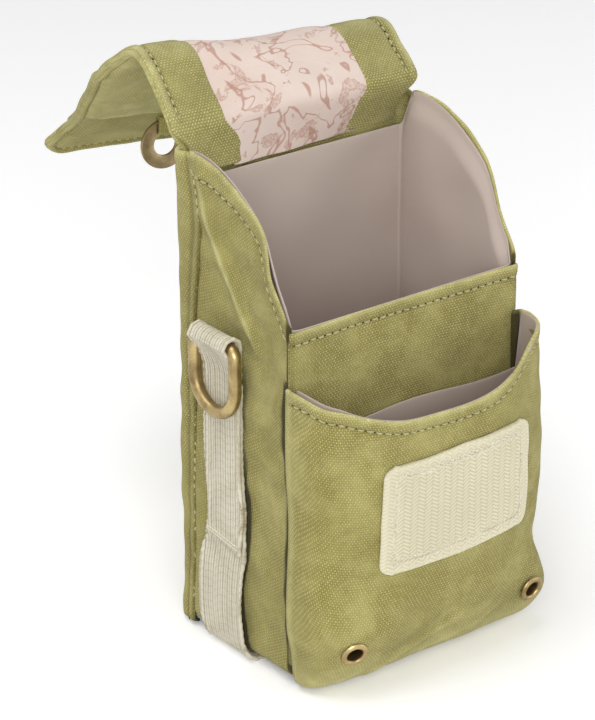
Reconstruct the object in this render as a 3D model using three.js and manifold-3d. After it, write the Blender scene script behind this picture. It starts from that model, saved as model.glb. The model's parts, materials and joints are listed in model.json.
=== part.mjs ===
// Belt pouch of washed canvas for a small camera and its cables: a padded body open at the top,
// a bulged front pocket, a webbing sling with two D rings and a flap thrown open over the back.
// Millimetres, +Z up, X to the pouch's right, -Y to its front, origin at the middle of the base.
import * as THREE from 'three';
import { mergeVertices } from 'three/addons/utils/BufferGeometryUtils.js';
import Module from 'manifold-3d';

const wasm = await Module();
wasm.setup();

// Layers of the walls
const canvas = 1.0;
const foam = 1.0;
const lining = 0.4;
const gap = 0.3;

// Body
const bodyWidth = 84;
const bodyDepth = 53.6;
const frontCorner = 3;
const backCorner = 7;
const backHeight = 150.5;
const frontHeight = 110.7;
const backWrap = 8;
const foamDrop = 4;
const liningDrop = 0.6;

// The top edge of a side panel, from front to back, as shares of the depth and of the rise
const sideEdge = [
  [0, 0], [0.08, 0.18], [0.16, 0.37], [0.24, 0.63], [0.34, 0.78], [0.55, 0.95], [0.77, 1.04], [1, 1],
];

// Sling, its ring loops and the loop for a belt
const webbing = 1.2;
const slingWidth = 18.5;
const slingShift = 1.2;
const loopSeam = 36;
const loopJoin = 90;
const barRise = 11.3;
const beltWidth = 38;
const beltTop = 128;
const beltBottom = 46;
const beltSewn = 9;
const beltSpace = 5;

// D rings
const wireRadius = 1.7;
const wireClearance = 0.3;
const ringInside = 19;
const ringDrop = 22;
const ringCorner = 2.6;

// Front pocket
const pocketBulge = 22.5;
const pocketFoot = 8;
const pocketRound = 32;
const pocketOverhang = 1;
const pocketMouth = 85.5;
const pocketCorner = 97;
const pocketPower = 2.8;
const footPower = 5.2;
const pocketLip = 3.5;
const liningBackHeight = 80;

// Hook patch on the pocket
const patchWidth = 54;
const patchHeight = 33;
const patchFoot = 41;
const patchThickness = 1.4;
const patchCorner = 5;

// Vent eyelets low on the pocket
const eyeletInset = 10;
const eyeletHeight = 16;
const eyeletHole = 2.35;
const eyeletBarrel = 2.8;
const eyeletFlange = 4.2;
const eyeletPlate = 0.7;
const eyeletPlay = 0.7;
const barrelReach = 0.5;

// Flap: three panels in a row, which fold at the root, at the crest and above the tab
const flapRootHeight = 156.5;
const flapRootBack = 24.5;
const flapSkew = -5;
const flapTopLength = 26;
const flapFrontLength = 83;
const flapTabLength = 27;
const flapOpen = 35.5;
const crestFold = -70;
const tabFold = -3;
const rootSetback = 0.8;
const crestSetback = 0.9;
const tabSetback = 0.25;
const liningSetback = 0.7;
const facingWidth = 17;
const facing = 1.0;
const taperStart = 32;
const tabWidth = 56;
const tabCorner = 11;
const padWidth = 46;
const padLength = 19;
const padMargin = 2.5;
const pad = 1.4;
const overlayLength = 71;
const overlayMargin = 3;
const overlayCorner = 8;

// Pull ring under the overlay's edge
const pullRadius = 8.2;
const pullHole = 3.75;
const pullThickness = 1.2;
const keeperWidth = 5;
const keeper = 0.4;

// Finish of each material
const finishes = {
  canvas: { color: 0x9f9a5a, roughness: 0.9, metalness: 0 },
  foam: { color: 0xd8d4c8, roughness: 1, metalness: 0 },
  lining: { color: 0x8c8078, roughness: 0.7, metalness: 0 },
  print: { color: 0xe6d4c9, roughness: 0.8, metalness: 0 },
  webbing: { color: 0xd0c8b1, roughness: 0.9, metalness: 0 },
  hook: { color: 0xd5cdb1, roughness: 0.85, metalness: 0 },
  brass: { color: 0xa08a55, roughness: 0.35, metalness: 1 },
};

const halfWidth = bodyWidth / 2;
const halfDepth = bodyDepth / 2;
const big = 400;
const axisX = new THREE.Vector3(1, 0, 0);
const axisY = new THREE.Vector3(0, 1, 0);
const axisZ = new THREE.Vector3(0, 0, 1);
const rad = THREE.MathUtils.degToRad;

// A closed geometry as a solid that can be joined and cut
function solid(geometry) {
  const bare = new THREE.BufferGeometry();
  bare.setAttribute('position', geometry.getAttribute('position'));
  if (geometry.index) bare.setIndex(geometry.index);
  const merged = mergeVertices(bare, 1e-4);
  const mesh = new wasm.Mesh({
    numProp: 3,
    vertProperties: Float32Array.from(merged.getAttribute('position').array),
    triVerts: Uint32Array.from(merged.index.array),
  });
  return new wasm.Manifold(mesh);
}

// The solid's surface as a geometry
function surface(body) {
  const mesh = body.getMesh();
  const geometry = new THREE.BufferGeometry();
  geometry.setAttribute('position', new THREE.BufferAttribute(Float32Array.from(mesh.vertProperties), 3));
  geometry.setIndex(new THREE.BufferAttribute(Uint32Array.from(mesh.triVerts), 1));
  geometry.computeVertexNormals();
  return geometry;
}

// A flat outline pushed along Z from a height, or along X or Y about the middle
function upright(shape, foot, height, curveSegments = 5) {
  const geometry = new THREE.ExtrudeGeometry(shape, { depth: height, bevelEnabled: false, curveSegments });
  return geometry.translate(0, 0, foot);
}
function acrossX(shape, width, middle = 0) {
  const geometry = new THREE.ExtrudeGeometry(shape, { depth: width, bevelEnabled: false, curveSegments: 6 });
  geometry.translate(0, 0, middle - width / 2);
  return geometry.applyMatrix4(new THREE.Matrix4().makeBasis(axisY, axisZ, axisX));
}
function acrossY(shape, depth, middle = 0) {
  const geometry = new THREE.ExtrudeGeometry(shape, { depth, bevelEnabled: false, curveSegments: 6 });
  geometry.translate(0, 0, -middle - depth / 2);
  return geometry.applyMatrix4(new THREE.Matrix4().makeBasis(axisX, axisZ, axisY.clone().negate()));
}

// A block between two corners
function block(x0, x1, y0, y1, z0, z1) {
  const geometry = new THREE.BoxGeometry(x1 - x0, y1 - y0, z1 - z0);
  return solid(geometry.translate((x0 + x1) / 2, (y0 + y1) / 2, (z0 + z1) / 2));
}

// A closed skin through rings of points, capped at both ends
function loft(rings) {
  const count = rings[0].length;
  const positions = rings.flat().flatMap((p) => [p.x, p.y, p.z]);
  const indices = [];
  for (let r = 0; r + 1 < rings.length; r += 1) {
    for (let i = 0; i < count; i += 1) {
      const a = r * count + i;
      const b = r * count + ((i + 1) % count);
      indices.push(a, b, b + count, a, b + count, a + count);
    }
  }
  const last = (rings.length - 1) * count;
  for (let i = 1; i + 1 < count; i += 1) {
    indices.push(0, i + 1, i, last, last + i, last + i + 1);
  }
  const geometry = new THREE.BufferGeometry();
  geometry.setAttribute('position', new THREE.Float32BufferAttribute(positions, 3));
  geometry.setIndex(indices);
  return solid(geometry);
}

// A band of even thickness along a line of points in one plane
function band(points, thickness) {
  const offset = (side) => points.map((p, i) => {
    const before = points[Math.max(i - 1, 0)];
    const after = points[Math.min(i + 1, points.length - 1)];
    const first = p.clone().sub(before).normalize();
    const second = after.clone().sub(p).normalize();
    const along = (i === 0 ? second : i === points.length - 1 ? first : first.clone().add(second)).normalize();
    const reach = (thickness / 2) / Math.max(along.dot(i === 0 ? second : first), 0.5);
    return new THREE.Vector2(p.x - along.y * reach * side, p.y + along.x * reach * side);
  });
  return new THREE.Shape([...offset(1), ...offset(-1).reverse()]);
}

// Points on an arc, angles in degrees
function arc(x, y, radius, from, to, steps) {
  return Array.from({ length: steps + 1 }, (_, i) => {
    const angle = rad(from + ((to - from) * i) / steps);
    return new THREE.Vector2(x + radius * Math.cos(angle), y + radius * Math.sin(angle));
  });
}

// The angle on a circle, in degrees, where a straight run from a point meets it
function tangentAngle(point, x, y, radius, side) {
  const distance = Math.hypot(x - point[0], y - point[1]);
  const towards = Math.atan2(point[1] - y, point[0] - x);
  return THREE.MathUtils.radToDeg(towards + side * Math.acos(radius / distance));
}

// A rounded outline about a middle, each corner with its own radius: front or foot pair, back or top pair
function roundedShape(half, low, high, lowRadius, highRadius) {
  const shape = new THREE.Shape();
  const lowR = Math.min(lowRadius, half * 0.9);
  const highR = Math.min(highRadius, half * 0.9);
  shape.moveTo(-half + lowR, low);
  shape.lineTo(half - lowR, low);
  shape.absarc(half - lowR, low + lowR, lowR, -Math.PI / 2, 0);
  shape.lineTo(half, high - highR);
  shape.absarc(half - highR, high - highR, highR, 0, Math.PI / 2);
  shape.lineTo(-half + highR, high);
  shape.absarc(-half + highR, high - highR, highR, Math.PI / 2, Math.PI);
  shape.lineTo(-half, low + lowR);
  shape.absarc(-half + lowR, low + lowR, lowR, Math.PI, 1.5 * Math.PI);
  return shape;
}

// Plan of the body, drawn in by an inset
function planShape(inset) {
  const sharpest = 0.3;
  return roundedShape(
    halfWidth - inset,
    -halfDepth + inset,
    halfDepth - inset,
    Math.max(frontCorner - inset, sharpest),
    Math.max(backCorner - inset, sharpest),
  );
}

// Everything below the mouth, which steps down from the back to the front
function belowMouth(drop) {
  const points = sideEdge.map(([share, rise]) => new THREE.Vector2(
    -halfDepth + share * bodyDepth,
    frontHeight + rise * (backHeight - frontHeight) - drop,
  ));
  const line = new THREE.SplineCurve(points).getPoints(18);
  const shape = new THREE.Shape([
    new THREE.Vector2(-big, -big),
    new THREE.Vector2(-big, line[0].y),
    ...line,
    new THREE.Vector2(big, line[line.length - 1].y),
    new THREE.Vector2(big, -big),
  ]);
  return solid(acrossX(shape, big));
}

const panelFoot = webbing + gap;
const wrapFront = halfDepth - backWrap;

// One canvas wall all round, to be divided into its panels
function canvasWall(foot) {
  const shape = planShape(0);
  shape.holes.push(planShape(canvas));
  return solid(upright(shape, foot, backHeight + 20)).intersect(belowMouth(0));
}

// The back panel turns round both back corners and carries the flap's root
function backPanel() {
  const wall = canvasWall(0).intersect(block(-big, big, wrapFront, big, -1, big));
  const rings = [-1, -0.5, 0, 0.5, 1].map((share) => {
    const x = share * (halfWidth - backCorner);
    const lean = flapRootBack + x * Math.tan(rad(flapSkew));
    const top = flapRootHeight - rootSetback;
    const overlap = 0.5;
    return [
      new THREE.Vector3(x, halfDepth - canvas, backHeight - overlap),
      new THREE.Vector3(x, halfDepth, backHeight - overlap),
      new THREE.Vector3(x, lean + canvas / 2, top),
      new THREE.Vector3(x, lean - canvas / 2, top),
    ];
  });
  return wall.add(loft(rings));
}

function sidePanel(side) {
  const seam = halfWidth - frontCorner;
  const region = side < 0
    ? block(-big, -seam, -big, wrapFront - gap, panelFoot, big)
    : block(seam, big, -big, wrapFront - gap, panelFoot, big);
  return canvasWall(0).intersect(region);
}

function frontPanel() {
  const seam = halfWidth - frontCorner - gap;
  return canvasWall(0).intersect(block(-seam, seam, -big, 0, -1, big));
}

function bottomPanel() {
  return solid(upright(planShape(canvas + gap), panelFoot, canvas));
}

const foamInset = canvas + gap;
const foamFoot = panelFoot + canvas + gap;
const liningInset = foamInset + foam + gap;
const liningFoot = foamFoot + foam + gap;

// Flat sheets of foam behind each canvas panel
function uprightFoam(x0, x1, y0, y1) {
  return block(x0, x1, y0, y1, liningFoot, big).intersect(belowMouth(foamDrop));
}
function backFoam() {
  const reach = halfWidth - backCorner;
  return uprightFoam(-reach, reach, halfDepth - foamInset - foam, halfDepth - foamInset);
}
function frontFoam() {
  const reach = halfWidth - frontCorner - foam;
  return uprightFoam(-reach, reach, -halfDepth + foamInset, -halfDepth + foamInset + foam);
}
function sideFoam(side) {
  const outer = side * (halfWidth - foamInset);
  const inner = outer - side * foam;
  const front = -halfDepth + frontCorner + foam;
  return uprightFoam(Math.min(outer, inner), Math.max(outer, inner), front, halfDepth - backCorner);
}
function bottomFoam() {
  return solid(upright(planShape(foamInset + foam + gap), foamFoot, foam));
}

// The bag of lining fabric inside the foam
function bodyLining() {
  const outer = solid(upright(planShape(liningInset), liningFoot, big));
  const inner = solid(upright(planShape(liningInset + lining), liningFoot + lining, big));
  return outer.subtract(inner).intersect(belowMouth(liningDrop));
}

// Front pocket: half of a superellipse in plan, boxy at its foot and rounder above, which swells upwards
const pocketBack = -halfDepth - gap;
const pocketHalf = halfWidth + pocketOverhang;

function pocketSize(z, inset) {
  const share = 1 - Math.min(Math.max(z / pocketRound, 0), 1);
  const swell = 1 - share ** 2.2;
  return {
    half: pocketHalf - 2 * pocketOverhang * share ** 2 - inset,
    depth: pocketFoot + (pocketBulge - pocketFoot) * swell - inset,
    power: pocketPower + (footPower - pocketPower) * share,
  };
}

function pocketSolid(inset, foot) {
  const levels = [0, 0.06, 0.14, 0.26, 0.45, 0.7, 1].map((share) => foot + share * (pocketRound - foot));
  const steps = 22;
  const rings = [...levels, pocketCorner + 5].map((z) => {
    const { half, depth, power } = pocketSize(z, inset);
    return Array.from({ length: steps + 1 }, (_, i) => {
      const angle = (Math.PI * i) / steps;
      const cos = Math.cos(angle);
      const x = half * Math.sign(cos) * Math.abs(cos) ** (2 / power);
      const y = pocketBack - depth * Math.abs(Math.sin(angle)) ** (2 / power);
      return new THREE.Vector3(x, Math.min(y, pocketBack), z);
    }).reverse();
  });
  return loft(rings);
}

// What lies over the pocket's mouth, which dips in the middle
function abovePocketMouth(raise) {
  const reach = pocketHalf + 5;
  const edge = Array.from({ length: 17 }, (_, i) => {
    const x = -reach + (2 * reach * i) / 16;
    return new THREE.Vector2(x, pocketMouth + (pocketCorner - pocketMouth) * (x / pocketHalf) ** 2 + raise);
  });
  const shape = new THREE.Shape([...edge, new THREE.Vector2(reach, big), new THREE.Vector2(-reach, big)]);
  return solid(acrossY(shape, big));
}

const eyeletSpread = pocketHalf - eyeletInset;

// Where an eyelet sits on the pocket's wall, and the way it faces
function eyeletSeat(side) {
  const wallY = (x, z) => {
    const { half, depth, power } = pocketSize(z, 0);
    return pocketBack - depth * (1 - (Math.abs(x) / half) ** power) ** (1 / power);
  };
  const x = side * eyeletSpread;
  const step = 0.5;
  const slopeX = (wallY(x + step, eyeletHeight) - wallY(x - step, eyeletHeight)) / (2 * step);
  const slopeZ = (wallY(x, eyeletHeight + step) - wallY(x, eyeletHeight - step)) / (2 * step);
  return {
    place: new THREE.Vector3(x, wallY(x, eyeletHeight), eyeletHeight),
    facing: new THREE.Vector3(slopeX, -1, slopeZ).normalize(),
  };
}

// The hole that an eyelet needs through cloth
function eyeletCut(side) {
  const { place, facing: outward } = eyeletSeat(side);
  const drill = new THREE.CylinderGeometry(eyeletBarrel + gap, eyeletBarrel + gap, 16, 16);
  drill.applyQuaternion(new THREE.Quaternion().setFromUnitVectors(axisY, outward));
  return solid(drill.translate(place.x, place.y, place.z));
}

function frontPocket() {
  const shell = pocketSolid(0, gap).subtract(
    pocketSolid(canvas, gap + canvas).intersect(block(-big, big, -big, pocketBack - canvas, 0, big)),
  );
  const way = halfWidth - frontCorner - pocketLip;
  return shell
    .subtract(block(-way, way, pocketBack - 2 * canvas, pocketBack + 1, gap + canvas, big))
    .subtract(abovePocketMouth(0))
    .subtract(eyeletCut(-1))
    .subtract(eyeletCut(1));
}

function pocketLining() {
  const inset = canvas + gap;
  const back = pocketBack - canvas - gap;
  const outer = pocketSolid(inset, gap + inset).intersect(block(-big, big, -big, back, 0, big));
  const inner = pocketSolid(inset + lining, gap + inset + lining)
    .intersect(block(-big, big, -big, back - lining, 0, big));
  return outer
    .subtract(inner)
    .subtract(abovePocketMouth(-liningDrop))
    .subtract(block(-big, big, back - 2 * lining, big, liningBackHeight, big))
    .subtract(eyeletCut(-1))
    .subtract(eyeletCut(1));
}

function hookPatch() {
  const shape = roundedShape(patchWidth / 2, patchFoot, patchFoot + patchHeight, patchCorner, patchCorner);
  const ahead = 5;
  const cutter = solid(acrossY(shape, big / 2, pocketBack - ahead - big / 4));
  return pocketSolid(-gap - patchThickness, gap).subtract(pocketSolid(-gap, gap - 0.2)).intersect(cutter);
}

// Eyelet with its rolled flange, and the washer that closes it inside
function eyelet() {
  const inward = -(canvas + lining + 3 * gap + eyeletPlay + eyeletPlate + barrelReach);
  const profile = [
    [eyeletHole, inward], [eyeletBarrel, inward], [eyeletBarrel, gap],
    [eyeletFlange, gap], [eyeletFlange, gap + eyeletPlate * 0.5],
    [eyeletFlange - 0.5, gap + eyeletPlate], [eyeletHole + 0.5, gap + eyeletPlate],
    [eyeletHole, gap + eyeletPlate * 0.4], [eyeletHole, inward],
  ];
  return new THREE.LatheGeometry(profile.map(([r, h]) => new THREE.Vector2(r, h)), 20);
}
function eyeletWasher() {
  const outer = -(canvas + lining + 3 * gap + eyeletPlay);
  const inner = eyeletBarrel + gap;
  const profile = [
    [inner, outer - eyeletPlate], [eyeletFlange, outer - eyeletPlate],
    [eyeletFlange, outer], [inner, outer], [inner, outer - eyeletPlate],
  ];
  return new THREE.LatheGeometry(profile.map(([r, h]) => new THREE.Vector2(r, h)), 20);
}

// Sling: one webbing up both sides and under the base
const slingLine = halfWidth + gap + webbing / 2;
const outerLine = slingLine + webbing + gap;
const barLine = outerLine + webbing / 2 + wireClearance + wireRadius;
const barHeight = loopJoin + barRise;

function slingWebbing() {
  const bend = webbing / 2 + 2 * gap;
  const right = [
    ...arc(slingLine - bend, webbing / 2 + bend, bend, -90, 0, 5),
    new THREE.Vector2(slingLine, loopJoin - gap),
  ];
  const left = right.map((p) => new THREE.Vector2(-p.x, p.y)).reverse();
  return acrossY(band([...left, ...right], webbing), slingWidth, slingShift);
}

// A loop of webbing that folds over a ring's bar and is sewn down at both ends
function ringLoop(side) {
  const radius = wireRadius + wireClearance + webbing / 2;
  const innerEnd = [slingLine, loopJoin + gap];
  const outerEnd = [outerLine, loopJoin - gap];
  const from = tangentAngle(outerEnd, barLine, barHeight, radius, 1);
  const to = tangentAngle(innerEnd, barLine, barHeight, radius, -1) + 360;
  const points = [
    new THREE.Vector2(outerLine, loopSeam + gap),
    new THREE.Vector2(...outerEnd),
    ...arc(barLine, barHeight, radius, from, to, 12),
    new THREE.Vector2(...innerEnd),
  ].map((p) => new THREE.Vector2(side * p.x, p.y));
  return acrossY(band(points, webbing), slingWidth, slingShift);
}

// D ring of round wire: a straight bar, short legs and a half circle below
function dRing(side) {
  const reach = ringInside / 2 + wireRadius;
  const corner = Math.min(ringCorner, ringDrop - reach - 0.5);
  const legFoot = reach - ringDrop;
  const half = (turn) => {
    const path = new THREE.CurvePath();
    const point = (y, z) => new THREE.Vector3(0, turn * y, z);
    path.add(new THREE.LineCurve3(point(-0.3, 0), point(reach - corner, 0)));
    path.add(new THREE.QuadraticBezierCurve3(point(reach - corner, 0), point(reach, 0), point(reach, -corner)));
    path.add(new THREE.LineCurve3(point(reach, -corner), point(reach, legFoot)));
    const bow = Array.from({ length: 9 }, (_, i) => {
      const angle = (Math.PI / 2) * (i / 8) * 1.02;
      return point(reach * Math.cos(angle), legFoot - reach * Math.sin(angle));
    });
    path.add(new THREE.CatmullRomCurve3(bow));
    const section = new THREE.Shape(arc(0, 0, wireRadius, 0, 315, 7));
    return solid(new THREE.ExtrudeGeometry(section, { steps: 22, extrudePath: path, bevelEnabled: false }));
  };
  const ring = half(1).add(half(-1));
  return surface(ring).translate(side * barLine, slingShift, barHeight);
}

// Loop on the back that a belt goes through
function beltLoop() {
  const flat = halfDepth + gap + webbing / 2;
  const out = flat + beltSpace;
  const slope = beltSpace;
  const points = [
    [flat, beltTop], [flat, beltTop - beltSewn], [out, beltTop - beltSewn - slope],
    [out, beltBottom + beltSewn + slope], [flat, beltBottom + beltSewn], [flat, beltBottom],
  ].map(([y, z]) => new THREE.Vector2(y, z));
  return acrossX(band(points, webbing), beltWidth);
}

// Flap panels, each in its own frame: Y along the flap, Z on the lining's side, fold line at Y = 0
const frontHalfAt = (along) => {
  const share = Math.min(Math.max((along - taperStart) / (flapFrontLength - taperStart), 0), 1);
  return halfWidth - (halfWidth - tabWidth / 2) * share;
};

function flapSheet(outline, low, thickness) {
  return solid(upright(outline, low, thickness, 6));
}

// The root fold crosses the top panel askew, so the panel's root edge follows it
const topStart = (x) => rootSetback - x * Math.tan(rad(flapSkew));

function topOutline(x0, x1) {
  const end = flapTopLength - crestSetback;
  return new THREE.Shape([
    new THREE.Vector2(x0, topStart(x0)),
    new THREE.Vector2(x1, topStart(x1)),
    new THREE.Vector2(x1, end),
    new THREE.Vector2(x0, end),
  ]);
}

// A strip of the front panel between two distances from its edge, on one side or across both
function frontOutline(side, nearEdge, farFromEdge, tabEndSetback) {
  const stations = [crestSetback, taperStart, flapFrontLength - tabEndSetback];
  const outer = stations.map((y) => new THREE.Vector2(side * (frontHalfAt(y) - nearEdge), y));
  const innerX = (y) => (farFromEdge === null ? -side * (frontHalfAt(y) - nearEdge)
    : side * (frontHalfAt(y) - farFromEdge));
  const inner = stations.map((y) => new THREE.Vector2(innerX(y), y));
  return new THREE.Shape([...outer, ...inner.reverse()]);
}

function tabOutline(inset, start) {
  return roundedShape(tabWidth / 2 - inset, start, flapTabLength - inset, 1, Math.max(tabCorner - inset, 1));
}

function flapTop() {
  const seam = halfWidth - facingWidth;
  return {
    canvas: flapSheet(topOutline(-halfWidth, halfWidth), -canvas, canvas),
    lining: flapSheet(topOutline(-seam + gap, seam - gap), gap, lining),
    facing: (side) => flapSheet(topOutline(side * seam, side * halfWidth), gap, facing),
  };
}

function flapFrontPanel() {
  return {
    canvas: flapSheet(frontOutline(1, 0, null, tabSetback), -canvas, canvas),
    lining: flapSheet(frontOutline(1, facingWidth + gap, null, liningSetback), gap, lining),
    facing: (side) => flapSheet(frontOutline(side, 0, facingWidth, liningSetback), gap, facing),
  };
}

// Second layer of canvas over the flap's front, with rounded lower corners
function flapOverlay() {
  const start = crestSetback + overlayMargin;
  const end = start + overlayLength;
  const cornerStart = end - overlayCorner;
  const half = (y) => frontHalfAt(y) - overlayMargin;
  const low = -2 * canvas - gap;
  const wide = new THREE.Shape([
    new THREE.Vector2(-half(start), start),
    new THREE.Vector2(half(start), start),
    new THREE.Vector2(half(taperStart), taperStart),
    new THREE.Vector2(half(cornerStart), cornerStart),
    new THREE.Vector2(-half(cornerStart), cornerStart),
    new THREE.Vector2(-half(taperStart), taperStart),
  ]);
  const tip = roundedShape(half(cornerStart), cornerStart - 1, end, 0.5, overlayCorner);
  return flapSheet(wide, low, canvas).add(flapSheet(tip, low, canvas));
}

function tabPad() {
  const start = flapTabLength - padMargin - padLength;
  const shape = roundedShape(padWidth / 2, start, start + padLength, 3, 6);
  return flapSheet(shape, 2 * gap + lining, pad);
}

// Pull ring and the cloth keeper through it, hanging from the fold line at Y = 0
const keeperReach = pullThickness / 2 + gap + keeper;
const rim = pullRadius - pullHole;

function pullRing() {
  const half = pullThickness / 2;
  const edge = 0.35;
  const profile = [
    [pullHole, -half + edge], [pullHole + edge, -half], [pullRadius - edge, -half],
    [pullRadius, -half + edge], [pullRadius, half - edge], [pullRadius - edge, half],
    [pullHole + edge, half], [pullHole, half - edge], [pullHole, -half + edge],
  ];
  const ring = new THREE.LatheGeometry(profile.map(([r, h]) => new THREE.Vector2(r, h)), 32);
  ring.rotateX(Math.PI / 2);
  return ring.translate(0, gap + keeper + gap + pullRadius, 0);
}
function ringKeeper() {
  const holeFall = pullHole - Math.sqrt(Math.max(pullHole ** 2 - (keeperWidth / 2) ** 2, 0));
  const length = rim + holeFall + 2 * gap + 2 * keeper;
  const outer = roundedShape(keeperReach, gap, gap + length, keeperReach * 0.6, keeperReach * 0.8);
  const inner = roundedShape(
    keeperReach - keeper, gap + keeper, gap + length - keeper, keeperReach * 0.3, keeperReach * 0.5,
  );
  outer.holes.push(inner);
  const geometry = new THREE.ExtrudeGeometry(outer, { depth: keeperWidth, bevelEnabled: false, curveSegments: 3 });
  geometry.translate(0, 0, -keeperWidth / 2);
  return geometry.rotateY(Math.PI / 2);
}

// Puts a finished piece into a group under its name
function piece(name, shape, finish, parent) {
  const geometry = shape.isBufferGeometry ? shape : surface(shape);
  const mesh = new THREE.Mesh(geometry, new THREE.MeshStandardMaterial(finishes[finish]));
  mesh.name = name;
  parent.add(mesh);
  return mesh;
}

function buildBody(parent) {
  piece('back_panel', backPanel(), 'canvas', parent);
  piece('left_side_panel', sidePanel(-1), 'canvas', parent);
  piece('right_side_panel', sidePanel(1), 'canvas', parent);
  piece('front_panel', frontPanel(), 'canvas', parent);
  piece('bottom_panel', bottomPanel(), 'canvas', parent);
  piece('back_foam', backFoam(), 'foam', parent);
  piece('left_foam', sideFoam(-1), 'foam', parent);
  piece('right_foam', sideFoam(1), 'foam', parent);
  piece('front_foam', frontFoam(), 'foam', parent);
  piece('bottom_foam', bottomFoam(), 'foam', parent);
  piece('body_lining', bodyLining(), 'lining', parent);
}

function buildPocket(parent) {
  piece('front_pocket', frontPocket(), 'canvas', parent);
  piece('pocket_lining', pocketLining(), 'lining', parent);
  piece('hook_patch', hookPatch(), 'hook', parent);
  for (const [name, side] of [['left', -1], ['right', 1]]) {
    const { place, facing: outward } = eyeletSeat(side);
    const seat = new THREE.Group();
    seat.position.copy(place);
    seat.quaternion.setFromUnitVectors(axisY, outward);
    parent.add(seat);
    piece(`${name}_eyelet`, eyelet(), 'brass', seat);
    piece(`${name}_eyelet_washer`, eyeletWasher(), 'brass', seat);
  }
}

function buildWebbing(parent) {
  piece('sling_webbing', slingWebbing(), 'webbing', parent);
  piece('belt_loop', beltLoop(), 'webbing', parent);
  for (const [name, side] of [['left', -1], ['right', 1]]) {
    piece(`${name}_ring_loop`, ringLoop(side), 'webbing', parent);
    piece(`${name}_d_ring`, dRing(side), 'brass', parent);
  }
}

// The root fold is a little skewed, so that the flap lies askew when open and straight when closed
function buildFlap(parent) {
  const root = new THREE.Group();
  root.position.set(0, flapRootBack, flapRootHeight);
  const skewed = new THREE.Vector3(Math.cos(rad(flapSkew)), Math.sin(rad(flapSkew)), 0);
  root.quaternion.setFromAxisAngle(skewed, rad(flapOpen));
  parent.add(root);

  const top = new THREE.Group();
  top.rotation.z = rad(2 * flapSkew);
  root.add(top);
  const front = new THREE.Group();
  front.position.y = flapTopLength;
  front.rotation.x = rad(crestFold);
  top.add(front);
  const tab = new THREE.Group();
  tab.position.y = flapFrontLength;
  tab.rotation.x = rad(tabFold);
  front.add(tab);

  for (const [name, panel, group] of [['flap_top', flapTop(), top], ['flap_front', flapFrontPanel(), front]]) {
    piece(`${name}_canvas`, panel.canvas, 'canvas', group);
    piece(`${name}_lining`, panel.lining, 'print', group);
    piece(`${name}_left_facing`, panel.facing(-1), 'canvas', group);
    piece(`${name}_right_facing`, panel.facing(1), 'canvas', group);
  }
  piece('flap_overlay', flapOverlay(), 'canvas', front);
  piece('tab_canvas', flapSheet(tabOutline(0, tabSetback), -canvas, canvas), 'canvas', tab);
  piece('tab_lining', flapSheet(tabOutline(gap, liningSetback), gap, lining), 'canvas', tab);
  piece('tab_loop_pad', tabPad(), 'hook', tab);

  // The ring hangs plumb from the overlay's lower edge
  const hang = new THREE.Group();
  const overlayEnd = crestSetback + overlayMargin + overlayLength;
  hang.position.set(0, overlayEnd + 2 * gap, -canvas - gap - keeperReach);
  front.add(hang);
  parent.updateMatrixWorld(true);
  const down = axisZ.clone().negate();
  down.applyQuaternion(front.getWorldQuaternion(new THREE.Quaternion()).invert());
  hang.rotation.x = Math.atan2(down.z, down.y);
  piece('pull_ring', pullRing(), 'brass', hang);
  piece('ring_keeper', ringKeeper(), 'canvas', hang);
}

const pouch = new THREE.Group();
buildBody(pouch);
buildPocket(pouch);
buildWebbing(pouch);
buildFlap(pouch);

export default pouch;
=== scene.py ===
"""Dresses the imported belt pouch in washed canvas, cotton webbing and worn brass, on a pale floor."""
import json
import math

import bpy
import numpy as np
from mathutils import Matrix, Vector


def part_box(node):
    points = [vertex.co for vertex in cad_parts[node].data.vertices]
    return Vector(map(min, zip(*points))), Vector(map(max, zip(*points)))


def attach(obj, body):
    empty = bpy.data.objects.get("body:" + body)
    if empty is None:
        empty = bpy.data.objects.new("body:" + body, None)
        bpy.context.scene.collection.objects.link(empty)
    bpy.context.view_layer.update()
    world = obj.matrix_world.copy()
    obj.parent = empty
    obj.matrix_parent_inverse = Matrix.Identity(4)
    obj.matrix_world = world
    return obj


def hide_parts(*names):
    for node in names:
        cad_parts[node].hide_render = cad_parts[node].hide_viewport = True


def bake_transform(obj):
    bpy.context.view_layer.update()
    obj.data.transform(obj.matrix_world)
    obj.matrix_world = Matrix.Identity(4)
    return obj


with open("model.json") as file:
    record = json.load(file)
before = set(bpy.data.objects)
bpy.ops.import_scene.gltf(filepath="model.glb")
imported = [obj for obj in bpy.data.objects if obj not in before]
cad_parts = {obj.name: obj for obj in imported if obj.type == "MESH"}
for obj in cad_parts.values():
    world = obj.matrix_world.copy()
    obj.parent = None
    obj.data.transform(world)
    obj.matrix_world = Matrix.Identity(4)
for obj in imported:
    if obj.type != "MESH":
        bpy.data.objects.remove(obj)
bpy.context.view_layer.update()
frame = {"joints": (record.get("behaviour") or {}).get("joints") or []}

MM = 0.001


# ---- Numbers and curves


def node_box(name):
    """Lowest and highest corner of a CAD node in millimetres."""
    low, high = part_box(name)
    return np.array(low) / MM, np.array(high) / MM


def smooth(low, high, value):
    """0 below low, 1 above high, and a soft step between."""
    share = np.clip((value - low) / (high - low), 0, 1)
    return share * share * (3 - 2 * share)


def bell(distance, width):
    """1 at no distance, falling off softly over a width."""
    return np.exp(-((distance / width) ** 2))


def waves(u, v, size, seed):
    """Soft random unevenness about as strong as 1, with bumps about size across."""
    rng = np.random.default_rng(seed)
    total = 0
    count = 7
    for _ in range(count):
        angle, phase = rng.uniform(0, 2 * math.pi, 2)
        length = size * rng.uniform(0.8, 1.8)
        total = total + np.sin((u * math.cos(angle) + v * math.sin(angle)) * 2 * math.pi / length + phase)
    return total / math.sqrt(count)


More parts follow.
